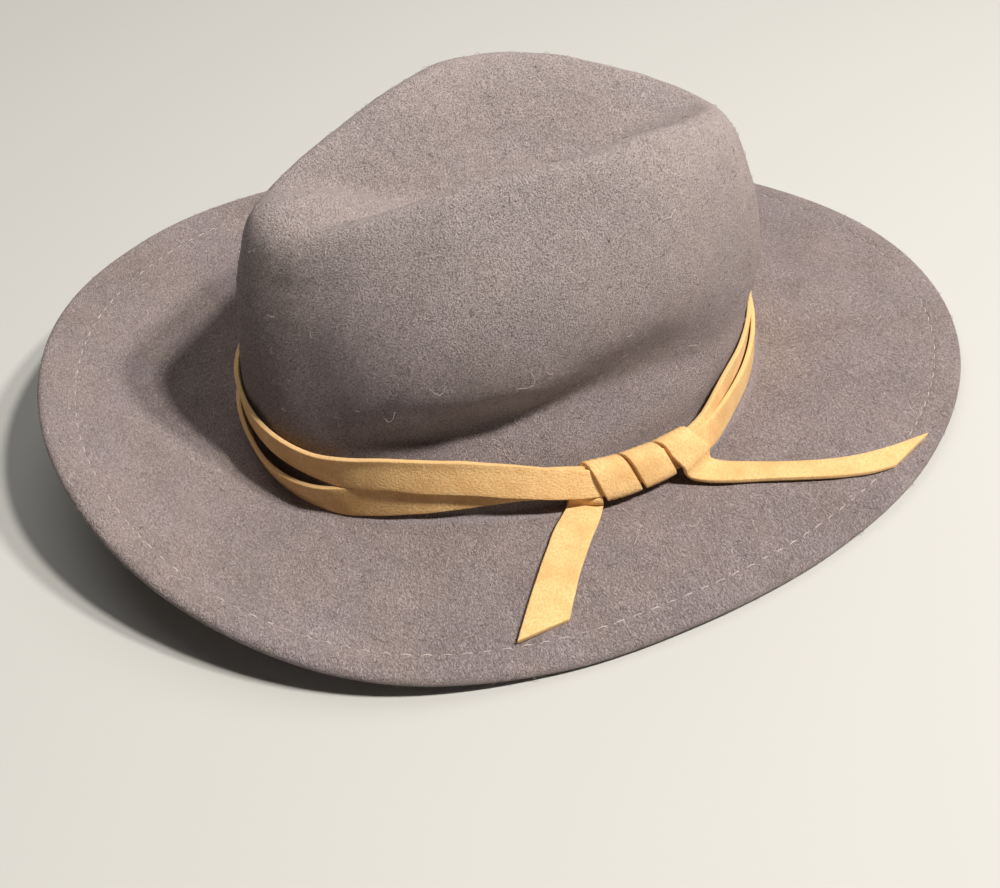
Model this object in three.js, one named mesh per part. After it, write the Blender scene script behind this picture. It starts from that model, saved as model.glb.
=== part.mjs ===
// A soft felt fedora with a pinched teardrop crown, a turned-up front brim and a flat lace
// wound twice round the crown and tied at the wearer's left. Millimetres, +Z up.
// Angles go round the hat in degrees: 0 is the front (-Y), 90 the wearer's left (+X).
import * as THREE from 'three';

// Felt
const FELT = 2.2;
const WELT_WIDTH = 11.5;
const WELT_THICK = 4.0;
const EDGE_ROUND = 1.3;
const HEAD_HALF_WIDTH = 85.8;
const HEAD_HALF_LENGTH = 101.2;
const HEAD_SQUARENESS = 1.87;

// Where the middle of the head opening stands in the part's own frame
const HEAD_X = 3.6;
const HEAD_Y = -8.65;

// Brim: height of the crease where it leaves the crown, height of the middle of its edge,
// reach from crease to edge along the felt, and how far its middle bows up or down
const BRIM = {
  angle: [0, 22.5, 45, 67.5, 90, 112.5, 135, 180, 202.5, 225, 270, 315],
  crease: [2.7, 2.6, 8.0, 9.6, 7.0, 5.2, 6.0, 9.5, 9.5, 9.5, 10.0, 8.5],
  edge: [37, 20, 8, 2.2, 2.1, 2.1, 3.0, 4.5, 5.0, 10.0, 18.6, 30],
  reach: [78, 74.5, 72, 65, 60, 63.5, 72, 87.5, 83, 78, 68, 76],
  bow: [-5, -3, -1, 0.5, 1, 1, 1, 1, 1, 0.5, -1.5, -4],
};

// Crown, front to back, the same on both sides. Each "in" is how far the wall stands inside
// the head line at that height above the crease; the ridge runs round the dented top.
const WALL_HEIGHTS = [13, 27, 46, 70];
const CROWN = {
  angle: [0, 12, 24, 36, 50, 70, 90, 110, 130, 155, 180],
  in13: [0, 0, 0.7, 1.5, 2.2, 3.3, 4.5, 3.9, 3.2, 2.2, 1.8],
  in27: [0.2, -0.4, 0.1, 2.8, 4.6, 6.4, 5.6, 4.1, 2.1, 1.1, 1.5],
  in46: [0.9, 2.7, 5.7, 7.7, 8.3, 8.5, 9.4, 8.4, 3.1, 0.3, 0.5],
  in70: [2.8, 4.6, 9.4, 16.9, 18.3, 15.9, 13.0, 8.6, 8.2, 4.5, 4.0],
  ridgeOut: [81.4, 77.8, 63.2, 52.3, 45.2, 41.8, 44.5, 49.6, 56.1, 69.4, 83],
  ridgeUp: [103, 98.8, 103.5, 107.4, 110.9, 113.6, 115.1, 115.1, 114, 107.4, 99.5],
  shoulder: [9.6, 8.9, 10.7, 12.1, 13.2, 12.4, 10.8, 14.2, 15.1, 10.4, 9.5],
};
const RIDGE_SKEW = 3;
const DENT_FLOOR = 83;
const DENT_RISE_TO_BACK = 0.13;

// Finger presses in the wall, both sides: depth, angle, height above the crease, half widths
const PRESSES = [
  { name: 'front pinch', depth: 4.2, angle: 17, up: 69, wide: 11.6, tall: 23 },
  { name: 'hollow above the lace', depth: 3.5, angle: 100, up: 33, wide: 28, tall: 11.7 },
];

// Lace
const LACE_WIDTH = 12.5;
const LACE_THICK = 1.7;
const LACE_CORNER = 0.4;
const LOWER_TURN = {
  angle: [0, 22.5, 45, 58, 70, 77, 84, 104, 112, 120, 130, 160, 225, 315],
  up: [1.6, 1.5, 1.6, 2.2, 3.8, 4.6, 4.8, 4.8, 4.7, 3.6, 1.8, 1.6, 1.6, 1.6],
  out: [0.8, 0.8, 0.8, 1.0, 3.1, 3.9, 3.9, 3.9, 3.8, 2.8, 1.0, 0.9, 0.8, 0.8],
};
const UPPER_TURN = {
  angle: [0, 12, 22.5, 33, 45, 58, 70, 77, 84, 104, 112, 120, 130, 140, 180, 225, 270, 315],
  up: [8.2, 9.0, 9.6, 10, 9.2, 7.4, 5.6, 4.9, 4.8, 4.8, 4.8, 5.2, 7.8, 9.8, 10.5, 10.5, 10, 8.6],
  foot: [3.5, 3.5, 3.5, 3.5, 3.5, 3.7, 5.2, 6.0, 6.0, 6.0, 5.9, 5.0, 3.7, 3.6, 3.5, 3.5, 3.5, 3.5],
  head: [1.8, 1.8, 1.8, 1.8, 1.9, 2.6, 5.2, 6.0, 6.0, 6.0, 5.9, 5.0, 2.6, 1.9, 1.8, 1.8, 1.8, 1.8],
};
const TURNS_FROM = 84;
const TURNS_TO = -622;
const CLIMB_FROM = -262;
const CLIMB_TO = -275;
const TURN_STEP = 6;

// Knot: a coil round both turns; its loop is taller than deep, and square-cornered
const COIL_ANGLE = 85.5;
const COIL_PITCH = 9.6;
const COIL_MIDDLE_UP = 11.5;
const COIL_HALF_UP = 8.4;
const COIL_MIDDLE_OUT = 5.9;
const COIL_FOOT = 4.8;
const COIL_HALF_OUT = 3.7;
const COIL_SQUARENESS = 5;
const COIL_QUARTER = [0, 25, 45, 65];
const COIL_FROM = -155;
const COIL_TO = 785;

// Free ends lying on the brim: angle round the crease, distance out from it, lift off the felt
const FRONT_END = {
  angle: [66.2, 68.2, 71, 75, 78.6, 80.6],
  out: [51.7, 41.5, 29.3, 17.6, 9.5, 5.2],
  lift: [0.5, 0.5, 0.5, 0.5, 0.6, 0.8],
  cut: 12,
};
const BACK_END = {
  angle: [110.6, 112.6, 115.6, 118.2, 121.9, 127.4, 131.5, 135.3],
  out: [12.6, 16.4, 21.0, 26.5, 35.8, 48.9, 58.3, 66.2],
  lift: [1.9, 0.8, 0.5, 0.5, 0.5, 0.5, 0.5, 0.5],
  cut: 15,
};

// Fineness of the solids
const AROUND = 64;
const BRIM_RINGS = 6;
const WALL_STEPS = 2;
const TOP_RINGS = 6;

const radians = (degrees) => (degrees * Math.PI) / 180;
const wrapped = (degrees) => ((degrees % 360) + 360) % 360;
const mix = (a, b, t) => a + (b - a) * t;
const powered = (value, power) => Math.sign(value) * Math.abs(value) ** power;

// Smooth curve through a column of values given at angles round the full circle
function smoothly(angles, values, degrees) {
  const x = wrapped(degrees);
  const count = angles.length;
  const angleAt = (i) => angles[((i % count) + count) % count] + 360 * Math.floor(i / count);
  const valueAt = (i) => values[((i % count) + count) % count];
  let i = count - 1;
  while (angleAt(i) > x) {
    i -= 1;
  }
  const slopeAt = (k) => {
    const before = angleAt(k) - angleAt(k - 1);
    const after = angleAt(k + 1) - angleAt(k);
    const fall = (valueAt(k) - valueAt(k - 1)) / before;
    const rise = (valueAt(k + 1) - valueAt(k)) / after;
    return (fall * after + rise * before) / (before + after);
  };
  const span = angleAt(i + 1) - angleAt(i);
  const t = (x - angleAt(i)) / span;
  return (
    valueAt(i) * (2 * t ** 3 - 3 * t ** 2 + 1) +
    slopeAt(i) * span * (t ** 3 - 2 * t ** 2 + t) +
    valueAt(i + 1) * (3 * t ** 2 - 2 * t ** 3) +
    slopeAt(i + 1) * span * (t ** 3 - t ** 2)
  );
}

// The crown's columns run front to back; the other side mirrors them
function bothSides(column) {
  return column.concat(column.slice(1, -1).reverse());
}
const CROWN_ANGLES = CROWN.angle.concat(CROWN.angle.slice(1, -1).reverse().map((a) => 360 - a));
const crownAt = (column, degrees) => smoothly(CROWN_ANGLES, bothSides(CROWN[column]), degrees);
const brimAt = (column, degrees) => smoothly(BRIM.angle, BRIM[column], degrees);

// Catmull-Rom curve through [out, up] stations
function throughStations(stations, steps) {
  const first = stations[0];
  const last = stations[stations.length - 1];
  const before = first.map((v, k) => 2 * v - stations[1][k]);
  const after = last.map((v, k) => 2 * v - stations[stations.length - 2][k]);
  const all = [before, ...stations, after];
  const points = [];
  for (let i = 1; i < all.length - 2; i += 1) {
    for (let j = 0; j < steps; j += 1) {
      const t = j / steps;
      points.push(
        first.map((unused, k) => {
          const [a, b, c, d] = [all[i - 1][k], all[i][k], all[i + 1][k], all[i + 2][k]];
          return 0.5 * (2 * b + (c - a) * t + (2 * a - 5 * b + 4 * c - d) * t ** 2
            + (3 * b - a - 3 * c + d) * t ** 3);
        }),
      );
    }
  }
  points.push(last);
  return points;
}

function headRadius(degrees) {
  const a = Math.abs(Math.sin(radians(degrees)) / HEAD_HALF_WIDTH) ** HEAD_SQUARENESS;
  const b = Math.abs(Math.cos(radians(degrees)) / HEAD_HALF_LENGTH) ** HEAD_SQUARENESS;
  return (a + b) ** (-1 / HEAD_SQUARENESS);
}

function polar(degrees, radius, up) {
  const x = HEAD_X + radius * Math.sin(radians(degrees));
  const y = HEAD_Y - radius * Math.cos(radians(degrees));
  return new THREE.Vector3(x, y, up);
}

// Direction straight out from the head line, seen from above
function outward(degrees) {
  const a = polar(degrees - 0.5, headRadius(degrees - 0.5), 0);
  const b = polar(degrees + 0.5, headRadius(degrees + 0.5), 0);
  return new THREE.Vector3(b.y - a.y, a.x - b.x, 0).normalize();
}

// Top face of the brim, a level distance out from the crease
function brimPoint(degrees, distance, lift = 0) {
  const crease = brimAt('crease', degrees);
  const rise = brimAt('edge', degrees) + WELT_THICK / 2 - crease;
  const level = Math.sqrt(brimAt('reach', degrees) ** 2 - rise ** 2);
  const q = distance / level;
  const up = crease + rise * q + brimAt('bow', degrees) * 4 * q * (1 - q) + lift;
  return polar(degrees, headRadius(degrees), up).addScaledVector(outward(degrees), distance);
}

function brimLevelReach(degrees) {
  const rise = brimAt('edge', degrees) + WELT_THICK / 2 - brimAt('crease', degrees);
  return Math.sqrt(brimAt('reach', degrees) ** 2 - rise ** 2);
}

// Outer face of the crown at one angle, crease to ridge, as [radius, up]
function wallProfile(degrees, steps) {
  const head = headRadius(degrees);
  const crease = brimAt('crease', degrees);
  const out = crownAt('ridgeOut', degrees);
  const soft = crownAt('shoulder', degrees);
  const skew = -Math.sin(radians(2 * degrees)) * (1 - Math.cos(radians(degrees))) / 2;
  const up = crownAt('ridgeUp', degrees) + RIDGE_SKEW * skew;
  const insets = ['in13', 'in27', 'in46', 'in70'].map((column) => crownAt(column, degrees));
  const stations = [[head + 0.3, crease + 0.9], [head - 0.15 * insets[0], crease + 4]];
  WALL_HEIGHTS.forEach((height, k) => stations.push([head - insets[k], crease + height]));
  stations.push([out + soft, up - 0.75 * soft], [out, up], [out - soft, up - 0.55 * soft]);
  const curve = throughStations(stations, steps).slice(0, 7 * steps + 1);
  const side = Math.min(wrapped(degrees), 360 - wrapped(degrees));
  return curve.map(([radius, z], i) => {
    const fade = Math.min(1, Math.max(0, (7 * steps - 1 - i) / steps));
    let pressed = radius;
    PRESSES.forEach((p) => {
      const away = ((side - p.angle) / p.wide) ** 2 + ((z - crease - p.up) / p.tall) ** 2;
      pressed -= p.depth * Math.exp(-away) * fade;
    });
    return [pressed, z];
  });
}

// Dented top inside the ridge, from the ridge towards the middle
function topPoint(degrees, ridge, share) {
  const floor = (radius) => DENT_FLOOR - DENT_RISE_TO_BACK * radius * Math.cos(radians(degrees));
  const radius = ridge[0] * share;
  const rise = 1 - (1 - share ** 2) ** 2;
  return [radius, floor(radius) + (ridge[1] - floor(ridge[0])) * rise];
}

// Radius of the crown's outer face at a height above the crease
function wallRadius(degrees, up) {
  const crease = brimAt('crease', degrees);
  const profile = wallProfile(degrees, WALL_STEPS);
  let i = 0;
  while (i < profile.length - 2 && profile[i + 1][1] - crease < up) {
    i += 1;
  }
  const [r0, z0] = profile[i];
  const [r1, z1] = profile[i + 1];
  return mix(r0, r1, Math.max(0, (up + crease - z0) / (z1 - z0)));
}

// One ring of the felt's upper face: a point for every angle round the hat
function ringOf(pointAt) {
  return Array.from({ length: AROUND }, (unused, i) => pointAt((i * 360) / AROUND));
}

function upperRings() {
  const rings = [];
  const kinds = [];
  const level = (degrees) => brimLevelReach(degrees);
  const add = (pointAt, kind) => {
    rings.push(ringOf(pointAt));
    kinds.push(kind);
  };
  add((d) => brimPoint(d, level(d) - EDGE_ROUND), 'welt');
  add((d) => brimPoint(d, level(d) - WELT_WIDTH), 'welt');
  for (let k = 1; k < BRIM_RINGS; k += 1) {
    const share = 1 - k / BRIM_RINGS;
    add((d) => brimPoint(d, mix(4.5, level(d) - WELT_WIDTH, share)), 'plain');
  }
  add((d) => brimPoint(d, 4.5), 'plain');
  add((d) => brimPoint(d, 2.0, 0.1), 'plain');
  const profiles = ringOf((d) => wallProfile(d, WALL_STEPS));
  for (let k = 0; k < profiles[0].length; k += 1) {
    rings.push(profiles.map((profile, i) => polar((i * 360) / AROUND, profile[k][0], profile[k][1])));
    kinds.push('plain');
  }
  for (let k = 1; k < TOP_RINGS; k += 1) {
    const share = 1 - k / TOP_RINGS;
    rings.push(profiles.map((profile, i) => {
      const degrees = (i * 360) / AROUND;
      const [radius, up] = topPoint(degrees, profile[profile.length - 1], share);
      return polar(degrees, radius, up);
    }));
    kinds.push('plain');
  }
  return { rings, kinds };
}

// Unit normals of a grid of rings, pointing up and out
function ringNormals(rings) {
  return rings.map((ring, k) => ring.map((unused, i) => {
    const inner = rings[Math.min(k + 1, rings.length - 1)][i];
    const outer = rings[Math.max(k - 1, 0)][i];
    const left = ring[(i + 1) % AROUND];
    const right = ring[(i + AROUND - 1) % AROUND];
    const along = new THREE.Vector3().subVectors(left, right);
    const inwards = new THREE.Vector3().subVectors(inner, outer);
    return along.cross(inwards).normalize();
  }));
}

// Closed solid from rings of equal length with a single point at either end, or none
class Solid {
  constructor() {
    this.points = [];
    this.faces = [];
  }

  addRing(ring) {
    const start = this.points.length;
    this.points.push(...ring);
    return Array.from({ length: ring.length }, (unused, i) => start + i);
  }

  join(lower, upper) {
    for (let i = 0; i < lower.length; i += 1) {
      const j = (i + 1) % lower.length;
      this.faces.push([lower[i], lower[j], upper[j]], [lower[i], upper[j], upper[i]]);
    }
  }

  close(ring, tip) {
    for (let i = 0; i < ring.length; i += 1) {
      this.faces.push([ring[i], ring[(i + 1) % ring.length], tip]);
    }
  }

  mesh(name, colour) {
    const geometry = new THREE.BufferGeometry();
    const flat = this.points.flatMap((p) => [p.x, p.y, p.z]);
    geometry.setAttribute('position', new THREE.Float32BufferAttribute(flat, 3));
    geometry.setIndex(this.faces.flat());
    geometry.computeVertexNormals();
    const mesh = new THREE.Mesh(geometry, new THREE.MeshStandardMaterial({ color: colour }));
    mesh.name = name;
    return mesh;
  }
}

// Crown and brim: one pressed piece of felt, its edge folded under and stitched down
function feltBody() {
  const { rings, kinds } = upperRings();
  const normals = ringNormals(rings);
  const solid = new Solid();
  const under = (k, thick) => rings[k].map((p, i) => p.clone().addScaledVector(normals[k][i], -thick));
  const edge = ringOf((d) => brimPoint(d, brimLevelReach(d), -WELT_THICK / 2));
  const lip = ringOf((d) => brimPoint(d, brimLevelReach(d) - WELT_WIDTH - 0.6));
  const lipNormals = normals[1];

  // underside, from the middle of the dent out to the edge
  const tipUp = topPoint(0, [1, DENT_FLOOR], 0)[1];
  solid.points.push(polar(0, 0, tipUp - FELT));
  let last = null;
  for (let k = rings.length - 1; k >= 2; k -= 1) {
    const ring = solid.addRing(under(k, kinds[k] === 'plain' ? FELT : WELT_THICK));
    if (last === null) {
      solid.close(ring.slice().reverse(), 0);
    } else {
      solid.join(ring.slice().reverse(), last.slice().reverse());
    }
    last = ring;
  }
  const lipRing = solid.addRing(lip.map((p, i) => p.clone().addScaledVector(lipNormals[i], -FELT)));
  solid.join(lipRing.slice().reverse(), last.slice().reverse());
  last = lipRing;
  [1, 0].forEach((k) => {
    const ring = solid.addRing(under(k, WELT_THICK));
    solid.join(ring.slice().reverse(), last.slice().reverse());
    last = ring;
  });

  // edge, then the upper face back to the middle
  const edgeRing = solid.addRing(edge);
  solid.join(edgeRing.slice().reverse(), last.slice().reverse());
  last = edgeRing;
  rings.forEach((ring) => {
    const next = solid.addRing(ring);
    solid.join(last, next);
    last = next;
  });
  solid.points.push(polar(0, 0, tipUp));
  solid.close(last, solid.points.length - 1);
  return solid.mesh('felt_body', 0x8a7870);
}

// Flat strip with softened corners along stations of middle, width direction and face direction
function strip(name, stations) {
  const solid = new Solid();
  const half = LACE_WIDTH / 2;
  const deep = LACE_THICK / 2;
  const corner = LACE_CORNER;
  const outline = [
    [corner - half, -deep], [half - corner, -deep], [half, corner - deep], [half, deep - corner],
    [half - corner, deep], [corner - half, deep], [-half, deep - corner], [-half, corner - deep],
  ];
  const rings = stations.map((s) => solid.addRing(outline.map(([w, t]) => {
    const point = s.middle.clone().addScaledVector(s.across, w).addScaledVector(s.face, t);
    return point.addScaledVector(s.along, (s.cut * w) / LACE_WIDTH);
  })));
  rings.forEach((ring, k) => {
    if (k > 0) {
      solid.join(rings[k - 1], ring);
    }
  });
  [rings[0].slice().reverse(), rings[rings.length - 1]].forEach((ring) => {
    for (let i = 1; i < ring.length - 1; i += 1) {
      solid.faces.push([ring[0], ring[i], ring[i + 1]]);
    }
  });
  return solid.mesh(name, 0xc99a63);
}

// Complete middles and faces with directions; across = face x along keeps strips right-handed
function stationsAlong(middles, faces, cuts) {
  return middles.map((middle, k) => {
    const next = middles[Math.min(k + 1, middles.length - 1)];
    const previous = middles[Math.max(k - 1, 0)];
    const along = new THREE.Vector3().subVectors(next, previous).normalize();
    const face = faces[k].clone().addScaledVector(along, -faces[k].dot(along)).normalize();
    const across = new THREE.Vector3().crossVectors(face, along);
    return { middle, along, face, across, cut: cuts[k] || 0 };
  });
}

// Place on the crown: angle, height above the crease, distance out from the felt
function onWall(degrees, up, out) {
  return polar(degrees, wallRadius(degrees, up) + out, brimAt('crease', degrees) + up);
}

// Two turns of lace round the foot of the crown, climbing from the lower to the upper one
// inside the knot, where both its ends stop
function laceTurns() {
  const middles = [];
  const faces = [];
  const widths = [];
  for (let turn = TURNS_FROM; turn >= TURNS_TO; turn -= TURN_STEP) {
    const a = wrapped(turn);
    const lowUp = smoothly(LOWER_TURN.angle, LOWER_TURN.up, a);
    const lowOut = smoothly(LOWER_TURN.angle, LOWER_TURN.out, a);
    const highUp = smoothly(UPPER_TURN.angle, UPPER_TURN.up, a);
    const footOut = smoothly(UPPER_TURN.angle, UPPER_TURN.foot, a);
    const headOut = smoothly(UPPER_TURN.angle, UPPER_TURN.head, a);
    const t = Math.min(1, Math.max(0, (CLIMB_FROM - turn) / (CLIMB_FROM - CLIMB_TO)));
    const up = mix(lowUp, highUp, t);
    const foot = onWall(a, up, mix(lowOut, footOut, t));
    const head = onWall(a, up + LACE_WIDTH * 0.985, mix(lowOut, headOut, t));
    const width = new THREE.Vector3().subVectors(head, foot).normalize();
    const outFace = new THREE.Vector3().crossVectors(width, outward(a)).cross(width).normalize();
    const middle = foot.clone().addScaledVector(width, LACE_WIDTH / 2);
    middles.push(middle.addScaledVector(outFace, LACE_THICK / 2));
    faces.push(outFace);
    widths.push(width);
  }
  const stations = stationsAlong(middles, faces, []);
  stations.forEach((s, k) => {
    const sign = s.across.dot(widths[k]) < 0 ? -1 : 1;
    s.across = widths[k].clone().multiplyScalar(sign);
    s.face = faces[k];
  });
  return strip('lace_turns', stations);
}

// Coil round the two turns at one moment of its winding: 0 top, 90 outside, 180 bottom
function coilPoint(winding) {
  const power = 2 / COIL_SQUARENESS;
  const a = COIL_ANGLE + (COIL_PITCH * winding) / 360;
  const up = COIL_MIDDLE_UP + COIL_HALF_UP * powered(Math.cos(radians(winding)), power);
  const out = COIL_MIDDLE_OUT + COIL_HALF_OUT * powered(Math.sin(radians(winding)), power);
  const foot = wallRadius(a, COIL_FOOT);
  const head = wallRadius(a, COIL_FOOT + LACE_WIDTH);
  const lean = mix(foot, head, (up - COIL_FOOT) / LACE_WIDTH);
  return polar(a, Math.max(lean, wallRadius(a, up)) + out, brimAt('crease', a) + up);
}

function coilFace(winding) {
  const c = Math.abs(Math.cos(radians(winding))) ** (2 - 2 / COIL_SQUARENESS);
  const s = Math.abs(Math.sin(radians(winding))) ** (2 - 2 / COIL_SQUARENESS);
  const a = COIL_ANGLE + (COIL_PITCH * winding) / 360;
  const up = (Math.sign(Math.cos(radians(winding))) * c) / COIL_HALF_UP;
  const out = (Math.sign(Math.sin(radians(winding))) * s) / COIL_HALF_OUT;
  const face = outward(a).multiplyScalar(out);
  face.z += up;
  return face.normalize();
}

// Even steps along the coil's square-cornered loop need uneven steps of winding
function coilWindings() {
  const windings = [];
  for (let quarter = -180; quarter <= COIL_TO; quarter += 90) {
    COIL_QUARTER.forEach((part) => windings.push(quarter + part));
  }
  return windings.filter((winding) => winding >= COIL_FROM && winding <= COIL_TO);
}

function brimFace(degrees, distance) {
  const here = brimPoint(degrees, distance);
  const out = brimPoint(degrees, distance + 1).sub(here);
  const round = brimPoint(degrees + 0.5, distance).sub(here);
  return round.cross(out).normalize().multiplyScalar(-1);
}

// Knot: one end comes in over the brim, winds round the turns and leaves over the brim again
function laceKnot() {
  const middles = [];
  const faces = [];
  const cuts = [];
  FRONT_END.angle.forEach((a, k) => {
    const lift = FRONT_END.lift[k] + LACE_THICK / 2;
    const face = brimFace(a, FRONT_END.out[k]);
    middles.push(brimPoint(a, FRONT_END.out[k]).addScaledVector(face, lift));
    faces.push(face.multiplyScalar(-1));
    cuts.push(k === 0 ? FRONT_END.cut : 0);
  });
  coilWindings().forEach((winding) => {
    middles.push(coilPoint(winding));
    faces.push(coilFace(winding));
    cuts.push(0);
  });
  BACK_END.angle.forEach((a, k) => {
    const lift = BACK_END.lift[k] + LACE_THICK / 2;
    const face = brimFace(a, BACK_END.out[k]);
    middles.push(brimPoint(a, BACK_END.out[k]).addScaledVector(face, lift));
    faces.push(face);
    cuts.push(k === BACK_END.angle.length - 1 ? BACK_END.cut : 0);
  });
  return strip('lace_knot', stationsAlong(middles, faces, cuts));
}

const hat = new THREE.Group();
hat.add(feltBody());
hat.add(laceTurns());
hat.add(laceKnot());
export default hat;
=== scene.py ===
"""Felt fedora with a lace band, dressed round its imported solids."""
import math

import bpy
import numpy as np
from mathutils import Matrix, Vector


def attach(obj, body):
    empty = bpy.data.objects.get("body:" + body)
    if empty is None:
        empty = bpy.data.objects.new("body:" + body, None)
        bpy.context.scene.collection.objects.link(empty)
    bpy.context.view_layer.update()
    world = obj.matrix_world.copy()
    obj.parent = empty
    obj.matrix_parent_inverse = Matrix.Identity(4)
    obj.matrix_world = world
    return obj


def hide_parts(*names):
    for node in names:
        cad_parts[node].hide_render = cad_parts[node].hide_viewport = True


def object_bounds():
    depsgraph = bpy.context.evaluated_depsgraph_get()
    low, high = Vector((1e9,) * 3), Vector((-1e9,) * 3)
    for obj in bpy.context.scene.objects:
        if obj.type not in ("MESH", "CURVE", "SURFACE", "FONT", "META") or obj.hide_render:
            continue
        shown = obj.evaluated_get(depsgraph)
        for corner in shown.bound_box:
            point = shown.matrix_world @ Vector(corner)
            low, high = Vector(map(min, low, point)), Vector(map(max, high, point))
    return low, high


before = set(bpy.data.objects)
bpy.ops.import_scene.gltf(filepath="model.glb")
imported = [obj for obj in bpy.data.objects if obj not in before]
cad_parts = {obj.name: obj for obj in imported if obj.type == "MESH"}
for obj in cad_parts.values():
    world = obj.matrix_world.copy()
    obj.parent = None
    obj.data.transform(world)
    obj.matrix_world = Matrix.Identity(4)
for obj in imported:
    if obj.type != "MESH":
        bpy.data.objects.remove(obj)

CAD_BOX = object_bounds()

bl_info = {
    "name": "Felt fedora",
    "version": (1, 0, 0),
    "blender": (4, 5, 0),
    "location": "3D View > Sidebar > Fedora",
    "description": "Builds a felt fedora with a flat suede lace, its stitches and its stage",
    "category": "Object",
}

MM = 0.001

# Where the middle of the head opening stands, and its oval, in millimetres as all shape tables
HEAD_X = 3.6
HEAD_Y = -8.65
HEAD_HALF_WIDTH = 85.8
HEAD_HALF_LENGTH = 101.2
HEAD_SQUARENESS = 1.87

WELT_THICKNESS = 4.0
# Brim, by angle round the hat: 0 is the front, 90 the wearer's left. Heights of the crease at
# the foot of the crown and of the middle of the brim's edge, the straight way between them,
# and how far the brim is bowed up between them
BRIM = {
    "angle": [0, 22.5, 45, 67.5, 90, 112.5, 135, 180, 202.5, 225, 270, 315],
    "crease": [2.7, 2.6, 8.0, 9.6, 7.0, 5.2, 6.0, 9.5, 9.5, 9.5, 10.0, 8.5],
    "edge": [37, 20, 8, 2.2, 2.1, 2.1, 3.0, 4.5, 5.0, 10.0, 18.6, 30],
    "reach": [78, 74.5, 72, 65, 60, 63.5, 72, 87.5, 83, 78, 68, 76],
    "bow": [-5, -3, -1, 0.5, 1, 1, 1, 1, 1, 0.5, -1.5, -4],
}

# Crown, front to back, the same on both sides but for the skew of its ridge. How far the wall
# stands in from the head's oval at its foot and at four heights above the crease, how far out
# and up the ridge is, the groove's depth and height, and how widely the shoulder is rounded
WALL_HEIGHTS = [13, 27, 46, 70]
WALL_SPANS = 7
CROWN = {
    "angle": [0, 12, 24, 36, 50, 70, 90, 110, 130, 155, 180],
    "foot": [1.3, 0.7, 0, 0, 0, 0, 0, 0.3, 1.3, 0.9, 0.5],
    "in13": [1.2, 0.6, 1.2, 2.2, 3.0, 3.8, 4.5, 4.0, 4.4, 3.8, 2.4],
    "in27": [0.6, 0.2, 2.6, 5.8, 8.2, 10.0, 8.2, 5.6, 3.4, 3.0, 2.2],
    "in46": [0.6, 1.9, 4.0, 3.6, 2.8, 3.8, 6.8, 6.6, 3.1, -0.4, 0.2],
    "in70": [2.8, 4.6, 8.6, 12.0, 12.0, 11.0, 10.0, 8.0, 8.2, 4.5, 4.0],
    "ridgeOut": [81.4, 77.8, 63.2, 52.3, 45.2, 41.8, 44.5, 49.6, 56.1, 69.4, 83],
    "ridgeUp": [103, 98.8, 103.5, 107.4, 110.9, 113.6, 115.1, 115.1, 114, 107.4, 99.5],
    "groove": [0, 0, 0, 1.5, 4.5, 8.5, 11, 10, 3.5, 0, 0],
    "grooveUp": [28, 28, 28, 27, 27, 29, 33, 34, 34, 36, 36],
    "shoulder": [9.6, 8.9, 10.7, 12.1, 13.2, 12.4, 10.8, 14.2, 15.1, 10.4, 9.5],
}
# Raises the ridge at the back on the wearer's left and lowers it on the right, by a little
# less than this
RIDGE_SKEW = 3
# Height of the dent's floor at its middle, and its rise for each millimetre towards the back
DENT_FLOOR = 83
DENT_RISE_TO_BACK = 0.13
# Groove pressed round the side of the wall: how far above its line and below it the groove
# has faded to about a third
GROOVE_ABOVE = 20
GROOVE_BELOW = 7
# Finger press in the wall, both sides: depth, angle, height above the crease, and half widths
# in degrees and in height
PRESS = (4.2, 17, 69, 11.6, 23)
# Rings of the felt: insets from the brim's edge on the folded welt, steps across the flat of
# the brim, distances from the crease in the fold at the foot of the crown, steps in the dent
WELT_INSETS = (2.0, 3.0, 4.2, 5.5, 6.8, 8.0, 9.0, 9.7, 10.2)
BRIM_STEPS = 20
FOLD_DISTANCES = (7.0, 5.8, 4.8, 4.0, 3.3, 2.7, 2.1, 1.5, 0.9)
DENT_STEPS = 26
# How far the welt swells between its rim and the stitches, and sinks under them
WELT_SWELL = 0.35
STITCH_GROOVE = 0.35
# The fold starts to lift at one distance from the crease and has its full lift closer in
FOLD_LIFT = 0.9
FOLD_LIFT_FROM = 3.8
FOLD_LIFT_OVER = 3.5
# Line of light in the fold: its middle's distance from the crease, and its half width
FOLD_LINE = 2.4
FOLD_LINE_HALF_WIDTH = 2.2
# Unevenness left by the hand, broad and small: a size, of which the longest wave is a little
# over half, and the share of the depth. It grows over this many rings from the edge inwards
BROAD_WAVES = (46, 0.55)
SMALL_WAVES = (21, 0.2)
STEADY_RINGS = 14
# Points of the half round rim, in degrees from its middle
RIM_TURNS = (68, 45, 22, 0, -22, -45, -68)
# Soft step where the folded edge ends underneath: share of the way in, and lift
WELT_STEP = ((0.12, 0.35), (0.55, 0.5))

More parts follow.
